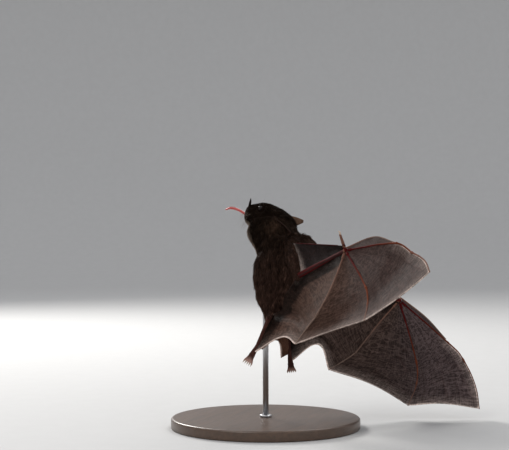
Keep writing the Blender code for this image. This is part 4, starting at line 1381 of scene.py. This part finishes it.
def build_web_hairs(middle, normals, measures, free):
    """Short sparse hairs on both faces of the membrane beside the body and along the forearm."""
    dice = np.random.default_rng(5)
    count = WEB_TUFTS
    place = np.abs(measures[:, 0])
    share = np.zeros(len(middle))
    flow = np.zeros((len(middle), 3))
    for wing in WINGS.values():
        at = wing.at
        mine = np.sign(measures[:, 0]) == wing.sign
        arm = line_distance(middle, wing.forearm)[0]
        near = np.maximum(1 - smoothstep(arm, 6.0, 8.0), 1 - smoothstep(past_shade(middle, wing), -2.0, 2.5))
        share += mine * (place < 2.0) * near * smoothstep(free, 1.5, 3.5)
        flow[mine] = unit((at["tip5"] - at["elbow"]) * 0.6 + (at["wrist"] - at["elbow"]) * 0.3)
    chosen = dice.choice(len(middle), count, p=share / share.sum())
    face = np.where(dice.random(count) < 0.5, 1.0, -1.0)[:, None]
    normal = normals[chosen] * face
    roots = middle[chosen] + dice.normal(0, 0.25, (count, 3))
    roots += normal * (MEMBRANE_HALF - ((roots - middle[chosen]) * normal).sum(axis=1, keepdims=True))
    ways = unit(flow[chosen] + dice.normal(0, 0.18, (count, 3)))
    length = dice.uniform(0.9, 2.0, count)
    tones = SHADE_WEB * dice.uniform(0.4, 1.2, count)[:, None]
    left = measures[chosen, 0] > 0
    uv = np.stack([np.clip(place[chosen] / 2.0, 0, 1) * 0.48 + 0.5 * left + 0.005,
                   np.clip(measures[chosen, 1], 0, 1) * 0.98 + 0.01], axis=1)
    points = tuft_points(roots, normal, ways, length, np.full(count, 0.1), np.full(count, 0.16))
    return tuft_mesh("coat_membrane", points, tones, uv)


def whisker_starts():
    """Root, way and length of each whisker: nine of the lip, eight of the chin and one of the brow a side."""
    starts = []
    for sign in SIDES.values():
        for k in range(9):
            spot = on_cheek(head_skin(11.2 + 0.34 * k, -2.2 - 0.5 * (k % 3)), sign)
            starts.append((spot, array(0.35 + 0.05 * k, sign * 0.75, -0.55), 6.5 - 0.3 * k))
        for k in range(8):
            way = array(0.55, sign * 0.2, -0.85)
            starts.append((on_cheek(head_skin(8.8 + 0.7 * k, -6.6 + 0.1 * k), sign), way, 5.2))
        starts.append((on_cheek(head_skin(8.4, 3.2), sign), array(0.35, sign * 0.6, 0.7), 3.5))
    return starts


def build_whiskers():
    dice = np.random.default_rng(9)
    t = np.linspace(0, 1, 9)[:, None]
    points, faces, places = [], [], []
    for k, (root, way, long) in enumerate(whisker_starts()):
        way = unit(way + dice.normal(0, 0.12, 3))
        bend = array(-0.5, 0, -0.35) * dice.uniform(0.5, 1.1)
        path = root + way * long * t + bend * long * 0.22 * t * t
        shape, mine = tube(from_head(path), profile((0.04, 0.032, 0.010), 9), 5)
        done = sum(map(len, points))
        faces += [tuple(i + done for i in f) for f in mine]
        points.append(shape)
        base = array((k % 8 + 0.5) / 8, (k // 8 + 0.5) / 8)
        places.append(base + dice.uniform(-PATCH / 2, PATCH / 2, (len(shape), 2)))
    obj = mesh_object("whiskers", np.concatenate(points), faces)
    store_map(obj.data, np.concatenate(places), read(obj.data.loops, "vertex_index", 1, np.int32))
    return obj


# ---- eyes, claws and tongue --------------------------------------------------------------
def build_eye(side):
    """One eyeball with its bulging cornea and a brown iris."""
    sign = SIDES[side]
    points, faces = ball((0, 0, 0), EYE_RADIUS, segments=40)
    facing = unit(points) @ unit(on_cheek(EYE_FACES, sign))
    points = points * (1 + 0.06 * smoothstep(facing, 0.75, 1.0))[:, None]
    eye = mesh_object("eyeball_" + side, from_head(points + on_cheek(EYE_AT, sign)), faces)
    tone = np.ones((len(points), 4), np.float32)
    iris = smoothstep(facing, 0.70, 0.76) * (1 - smoothstep(facing, 0.86, 0.90))
    tone[:, :3] = mix(EYE_DARK, IRIS_BROWN, iris)
    store(eye.data, "tone", "FLOAT_COLOR", "POINT", tone)
    return eye


def claw(start, end, hook, radius):
    """A claw that tapers from start past end, curving the way that hook points."""
    middle = (start + end) / 2 - hook * 0.25
    path = spline([start, middle, end + hook * 0.55], 7)
    shape = tube(path, profile((1.0, 0.85, 0.6, 0.12), len(path)) * radius, 10, 1.35, hook)
    return mesh_object("claw", *shape)


def build_claws():
    claws = []
    for wing in WINGS.values():
        at = wing.at
        thumb = unit(at["thumb_tip"] - at["wrist"])
        hook = unit(np.cross(wing.palm, thumb)) * -wing.sign
        if hook @ (at["tip3"] - at["tip5"]) > 0:
            hook = -hook
        claws.append(claw(at["thumb_tip"] - thumb * 1.9, at["thumb_tip"] - thumb * 0.1, hook, 0.45))
        paths, curl = toe_paths(wing)
        claws += [claw(path[-5], path[-1], curl, 0.30) for path in paths]
    return join(claws, "claws")


def papilla(spot, out, ahead):
    """A hair-like papilla that leans back from the tongue's tip."""
    path = np.array([spot, spot + out * 0.16 - ahead * 0.12, spot + out * 0.2 - ahead * 0.34])
    return mesh_object("papilla", *in_head(tube(path, (0.07, 0.05, 0.02), 5)))


def build_tongue():
    path = spline(TONGUE_PATH, 12)
    radius = profile((0.85, 0.85, 0.8, 0.8, 0.45), len(path))
    pieces = [mesh_object("tongue", *in_head(tube(path, radius, 16, 0.8, (0, 0, 1))))]
    ahead = unit(np.gradient(path, axis=0))
    for k in range(len(path) - 18, len(path) - 1):
        up = unit(array(0, 0, 1) - ahead[k] * ahead[k, 2])
        across = np.cross(ahead[k], up)
        for turn in (-1.2, -0.6, 0.6, 1.2):
            out = unit(up * cos(turn) + across * sin(turn))
            pieces.append(papilla(path[k] + out * radius[k] * 0.85, out, ahead[k]))
    return join(pieces, "tongue_flesh")


# ---- stand and stage --------------------------------------------------------------------
def lathe(name, outline, segments=128):
    points, faces = capped([level_ring(level, radius, radius, segments) for radius, level in outline])
    return mesh_object(name, points, faces, in_body=False)


def rounded(radius, low, high, edge, steps=8):
    """Outline of a disc with rounded edges, from the middle of its underside up."""
    outline = [(radius * 0.5, low), (radius - edge, low)]
    turn = np.linspace(0, pi / 2, steps + 1)
    outline += [(radius - edge + edge * sin(a), low + edge * 0.4 * (1 - cos(a))) for a in turn[1:]]
    outline += [(radius - edge + edge * cos(a), high - edge + edge * sin(a)) for a in turn]
    outline += [(radius * 0.6, high), (radius * 0.2, high)]
    return outline


def build_stand():
    """The turned base, the polished rod, which ends inside the trunk, and the collar at its foot."""
    base = lathe("stand_base_turned", rounded(BASE_RADIUS, 0.0, BASE_HEIGHT, BASE_EDGE))
    top = (np.array(ROD_TOP) @ BODY_TURN.T + BODY_SHIFT)[2]
    rod = lathe("stand_rod_polished", [
        (ROD_RADIUS * 0.5, BASE_HEIGHT + 0.02), (ROD_RADIUS, BASE_HEIGHT + 0.05),
        (ROD_RADIUS, top - 0.5), (ROD_RADIUS, top + 1.0), (ROD_RADIUS * 0.5, top + 1.2),
    ], 48)
    collar = lathe("stand_collar", [(ROD_RADIUS + out, BASE_HEIGHT + up) for out, up in COLLAR_OUTLINE], 64)
    return base, rod, collar


def build_stage():
    """A pale floor that curves up far off on every side."""
    flat, bend, height, low, sides = 1400.0, 600.0, 1100.0, -0.02, 96
    outline = [(radius, low) for radius in (1.0, 200.0, 600.0, flat)]
    outline += [(flat + bend * sin(a), bend * (1 - cos(a))) for a in np.linspace(0.1, pi / 2, 14)]
    outline.append((flat + bend, height))
    rings = [level_ring(level, radius, radius, sides) for radius, level in outline]
    points = np.concatenate([rings[0].mean(axis=0)[None], *rings])
    faces = grid_faces(len(rings), sides, start=1) + [(0, 1 + j, 1 + (j + 1) % sides) for j in range(sides)]
    mesh = bpy.data.meshes.new("floor")
    mesh.from_pydata((points * MM).tolist(), [], faces)
    mesh.shade_smooth()
    return link("floor", mesh)


# ---- materials --------------------------------------------------------------------------
class Shader:
    """A node material, with short ways to add nodes and join them."""

    def __init__(self, name, **surface):
        self.material = bpy.data.materials.new(name)
        self.material.use_nodes = True
        self.tree = self.material.node_tree
        self.surface = self.tree.nodes["Principled BSDF"]
        self.feed(self.surface, {key.replace("_", " "): value for key, value in surface.items()})

    def feed(self, node, values):
        for key, value in values.items():
            socket = node.inputs[key]
            if isinstance(value, bpy.types.NodeSocket):
                self.tree.links.new(value, socket)
            else:
                socket.default_value = value

    def node(self, kind, values, output=0, **options):
        node = self.tree.nodes.new("ShaderNode" + kind)
        for key, value in options.items():
            setattr(node, key, value)
        self.feed(node, values)
        return node.outputs[output]

    def product(self, a, b):
        return self.node("Math", {0: a, 1: b}, operation="MULTIPLY")

    def total(self, first, *others):
        for other in others:
            first = self.node("Math", {0: first, 1: other}, operation="ADD")
        return first

    def less(self, a, b):
        return self.node("Math", {0: a, 1: b}, operation="SUBTRACT")

    def scaled(self, value, low, high, breadth=1.0):
        """low where a value is 0, and high where it is breadth or more."""
        return self.node("MapRange", {"Value": value, "From Max": breadth, "To Min": low, "To Max": high})

    def attribute(self, name, output="Color"):
        return self.node("Attribute", {}, output, attribute_name=name)

    def parts(self, kind, name, value):
        """The three numbers of a colour or a vector."""
        return self.node(kind, {name: value}).node.outputs

    def places(self, stretch=(1, 1, 1)):
        """Places on the object in metres, stretched."""
        spot = self.node("TexCoord", {}, "Object")
        return self.node("Mapping", {"Vector": spot, "Scale": stretch})

    def noise(self, vector, scale, detail=4.0, rough=0.55, warp=0.0):
        values = {"Vector": vector, "Scale": scale, "Detail": detail, "Roughness": rough, "Distortion": warp}
        return self.node("TexNoise", values, "Fac")

    def plane(self, a, a_scale, b, b_scale):
        """Two numbers as a place on a plane, each stretched."""
        return self.node("CombineXYZ", {"X": self.product(a, a_scale), "Y": self.product(b, b_scale)})

    def lines(self, vector, breadth):
        """1 on thin wavering lines, where a noise passes through its middle value, and 0 between them."""
        away = self.less(self.noise(vector, 1.0, 2.0, 0.5, 0.5), 0.5)
        return self.scaled(self.node("Math", {0: away}, operation="ABSOLUTE"), 1.0, 0.0, breadth)

    def tint(self, colour, factor):
        """Colour times a factor."""
        return self.node("VectorMath", {0: colour, "Scale": factor}, operation="SCALE")

    def blend(self, share, a, b):
        return self.node("Mix", {0: share, 6: a, 7: b}, 2, data_type="RGBA")

    def finish(self, colour, roughness, height, depth=0.0001, strength=0.5):
        bump = self.node("Bump", {"Height": height, "Distance": depth, "Strength": strength})
        self.feed(self.surface, {"Base Color": colour, "Roughness": roughness, "Normal": bump})
        return self.material


SHINE_TINT = (0.35, 0.27, 0.23, 1)     # skin and hair shine brown, not white
VEIN_RED = (0.05, 0.014, 0.010, 1)


def skin_material():
    s = Shader("bat_skin", Specular_IOR_Level=0.02, Specular_Tint=SHINE_TINT)
    web, grain, shine = s.parts("SeparateColor", "Color", s.attribute("look"))
    down, across, _ = s.parts("SeparateXYZ", "Vector", s.attribute("place", "Vector"))
    broad = s.noise(s.places(), 240.0, 5.0)
    fine = s.noise(s.places(), 1500.0, 3.0)
    pits = s.noise(s.places(), 3600.0, 2.0)
    rings = s.lines(s.plane(across, 5.0, down, 40.0), 0.09)
    fibres = s.lines(s.plane(across, 32.0, down, 5.0), 0.075)
    weave = s.lines(s.plane(across, 24.0, down, 40.0), 0.06)
    net = s.total(s.product(rings, 0.55), s.product(fibres, 0.35), s.product(weave, 0.25))
    net = s.product(s.product(net, web), grain)
    cells = {"Vector": s.plane(across, 3.5, down, 4.5), "Scale": 1.0}
    border = s.node("TexVoronoi", cells, "Distance", feature="DISTANCE_TO_EDGE")
    vein = s.product(s.scaled(border, 1.0, 0.0, 0.03), web)

    tone = s.tint(s.attribute("tone"), s.scaled(broad, 0.72, 1.28))
    tone = s.tint(tone, s.scaled(fine, 0.85, 1.15))
    tone = s.tint(tone, s.total(s.scaled(web, 1.0, 0.70), s.product(net, 2.6)))
    tone = s.blend(s.product(vein, 0.15), tone, VEIN_RED)
    rough = s.less(s.scaled(fine, 0.60, 0.80), s.product(shine, 0.22))
    height = s.total(s.product(s.total(fine, pits), grain), s.product(net, 1.1), s.product(vein, 0.4))
    return s.finish(tone, rough, height, 0.0002, 0.5)


def coat_material():
    s = Shader("bat_coat", Specular_IOR_Level=0.05, Specular_Tint=SHINE_TINT)
    broad = s.noise(s.places(), 320.0, 4.0)
    fine = s.noise(s.places((1, 1, 0.2)), 5200.0, 2.0)
    tone = s.tint(s.attribute("tone"), s.scaled(broad, 0.75, 1.25))
    return s.finish(tone, s.scaled(fine, 0.42, 0.62), fine, 0.00002, 0.3)


def whisker_material():
    s = Shader("whisker")
    grain = s.noise(s.places(), 2500.0)
    tone = s.blend(grain, (0.10, 0.08, 0.065, 1), (0.30, 0.25, 0.21, 1))
    return s.finish(tone, s.scaled(grain, 0.3, 0.5), grain, 0.00001, 0.2)


def eye_material():
    s = Shader("bat_eye", Specular_IOR_Level=0.18, Coat_Weight=0.08, Coat_Roughness=0.02)
    streaks = s.noise(s.places(), 4200.0, 3.0)
    tone = s.tint(s.attribute("tone"), s.scaled(streaks, 0.5, 1.5))
    return s.finish(tone, s.scaled(streaks, 0.05, 0.14), streaks, 0.000004, 0.1)


def claw_material():
    s = Shader("claw_horn")
    streaks = s.noise(s.places((1, 1, 0.25)), 3000.0, 3.0)
    tone = s.blend(streaks, (0.36, 0.26, 0.19, 1), (0.62, 0.50, 0.40, 1))
    return s.finish(tone, s.scaled(streaks, 0.22, 0.42), streaks, 0.00003, 0.3)


def tongue_material():
    s = Shader("wet_tongue", Coat_Weight=0.6, Coat_Roughness=0.08)
    broad = s.noise(s.places(), 700.0)
    pits = s.noise(s.places(), 4000.0, 2.0)
    tone = s.blend(broad, (0.36, 0.012, 0.012, 1), (0.60, 0.09, 0.07, 1))
    return s.finish(tone, s.scaled(pits, 0.2, 0.4), pits, 0.00006, 0.5)


def wood_material():
    s = Shader("stained_wood", Coat_Weight=0.25, Coat_Roughness=0.25)
    grain = s.noise(s.places((1.0, 14.0, 14.0)), 26.0, 8.0, 0.62, 0.7)
    pores = s.noise(s.places((1.0, 26.0, 26.0)), 150.0, 3.0, 0.6)
    dark = s.product(grain, s.scaled(pores, 0.6, 1.3))
    tone = s.blend(dark, (0.018, 0.011, 0.008, 1), (0.16, 0.092, 0.056, 1))
    return s.finish(tone, s.scaled(pores, 0.30, 0.46), pores, 0.00005, 0.35)


def steel_material():
    s = Shader("brushed_steel", Metallic=1.0)
    brush = s.noise(s.places((1.0, 1.0, 60.0)), 160.0, 4.0)
    tone = s.blend(brush, (0.40, 0.40, 0.41, 1), (0.56, 0.56, 0.57, 1))
    return s.finish(tone, s.scaled(brush, 0.26, 0.42), brush, 0.00002, 0.25)


def floor_material():
    s = Shader("pale_floor")
    speckle = s.noise(s.places(), 90.0, 5.0)
    tone = s.blend(speckle, (0.50, 0.50, 0.495, 1), (0.55, 0.55, 0.545, 1))
    return s.finish(tone, s.scaled(speckle, 0.75, 0.9), speckle, 0.0001, 0.1)


# ---- light and camera -------------------------------------------------------------------
TARGET = (-12.7, -10.15, 96.43)        # what the camera looks at, row frame, millimetres
CAMERA_AZIMUTH = radians(109.5)
CAMERA_DISTANCE = 650.0
VIEW_WIDTH = 248.4                     # the breadth that the picture takes in at the target
SENSOR = 36.0
SKY = (0.95, 0.96, 1.0, 1)
SKY_STRENGTH = 0.75
LAMPS = (                              # degrees right and up, metres off, breadth, watts, colour
    ("key", -38, 42, 1.1, 0.5, 2.9, (1.0, 0.97, 0.93)),
    ("fill", 50, 20, 1.2, 0.8, 0.8, (0.95, 0.97, 1.0)),
    ("rim", -150, 28, 0.9, 0.3, 6.0, (1.0, 0.98, 0.95)),
    ("back", 150, 50, 1.0, 0.5, 3.0, (1.0, 0.98, 0.95)),
)


def aim(name, data, azimuth, elevation, distance):
    """A camera or lamp at this distance in metres from the target, and turned to it."""
    obj = link(name, data)
    way = Vector((-sin(azimuth) * cos(elevation), cos(azimuth) * cos(elevation), -sin(elevation)))
    obj.location = Vector(TARGET) * MM - way * distance
    obj.rotation_euler = way.to_track_quat("-Z", "Y").to_euler()
    return obj


def place_camera():
    data = bpy.data.cameras.new("camera")
    data.sensor_width = SENSOR
    data.lens = SENSOR * CAMERA_DISTANCE / VIEW_WIDTH
    data.clip_start = 0.01
    data.clip_end = 20.0
    bpy.context.scene.camera = aim("camera", data, CAMERA_AZIMUTH, 0.0, CAMERA_DISTANCE * MM)


def build_light():
    world = bpy.data.worlds.new("studio")
    world.use_nodes = True
    background = world.node_tree.nodes["Background"]
    background.inputs["Color"].default_value = SKY
    background.inputs["Strength"].default_value = SKY_STRENGTH
    bpy.context.scene.world = world
    for name, turn, height, distance, size, power, colour in LAMPS:
        data = bpy.data.lights.new(name, "AREA")
        data.shape = "DISK"
        data.size = size
        data.energy = power
        data.color = colour
        lamp = aim(name, data, CAMERA_AZIMUTH + radians(turn), radians(height), distance)
        lamp.visible_camera = False
    bpy.context.scene.view_settings.view_transform = "Standard"


# ---- everything together ----------------------------------------------------------------
def show(piece, slot, material, *nodes):
    piece.data.materials.clear()
    piece.data.materials.append(material)
    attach(piece, "root")
    if nodes:
        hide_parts(*nodes)


def is_flesh(node):
    return not node.startswith(("stand_", "eye_", "tongue"))


def main():
    core = build_core()
    sheet, middle, normals, measures, free = build_sheet()
    skin = build_skin(core, sheet)
    paint_skin(skin, middle, measures, free)
    bpy.data.objects.remove(sheet, do_unlink=True)
    show(skin, "membrane", skin_material(), *filter(is_flesh, sorted(frame["nodes"])))

    coat = coat_material()
    for piece in (*build_coat(core), build_web_hairs(middle, normals, measures, free)):
        show(piece, "fur", coat)
    bpy.data.objects.remove(core, do_unlink=True)
    show(build_whiskers(), "fur", whisker_material())

    eye = eye_material()
    for side in SIDES:
        show(build_eye(side), "eye", eye, "eye_" + side)
    show(build_claws(), "foot_skin", claw_material())
    show(build_tongue(), "tongue", tongue_material(), "tongue")

    base, rod, collar = build_stand()
    show(base, "stand_wood", wood_material(), "stand_base")
    steel = steel_material()
    show(rod, "stand_steel", steel, "stand_rod")
    show(collar, "stand_steel", steel)

    floor = build_stage()
    floor.data.materials.append(floor_material())
    build_light()
    place_camera()


main()
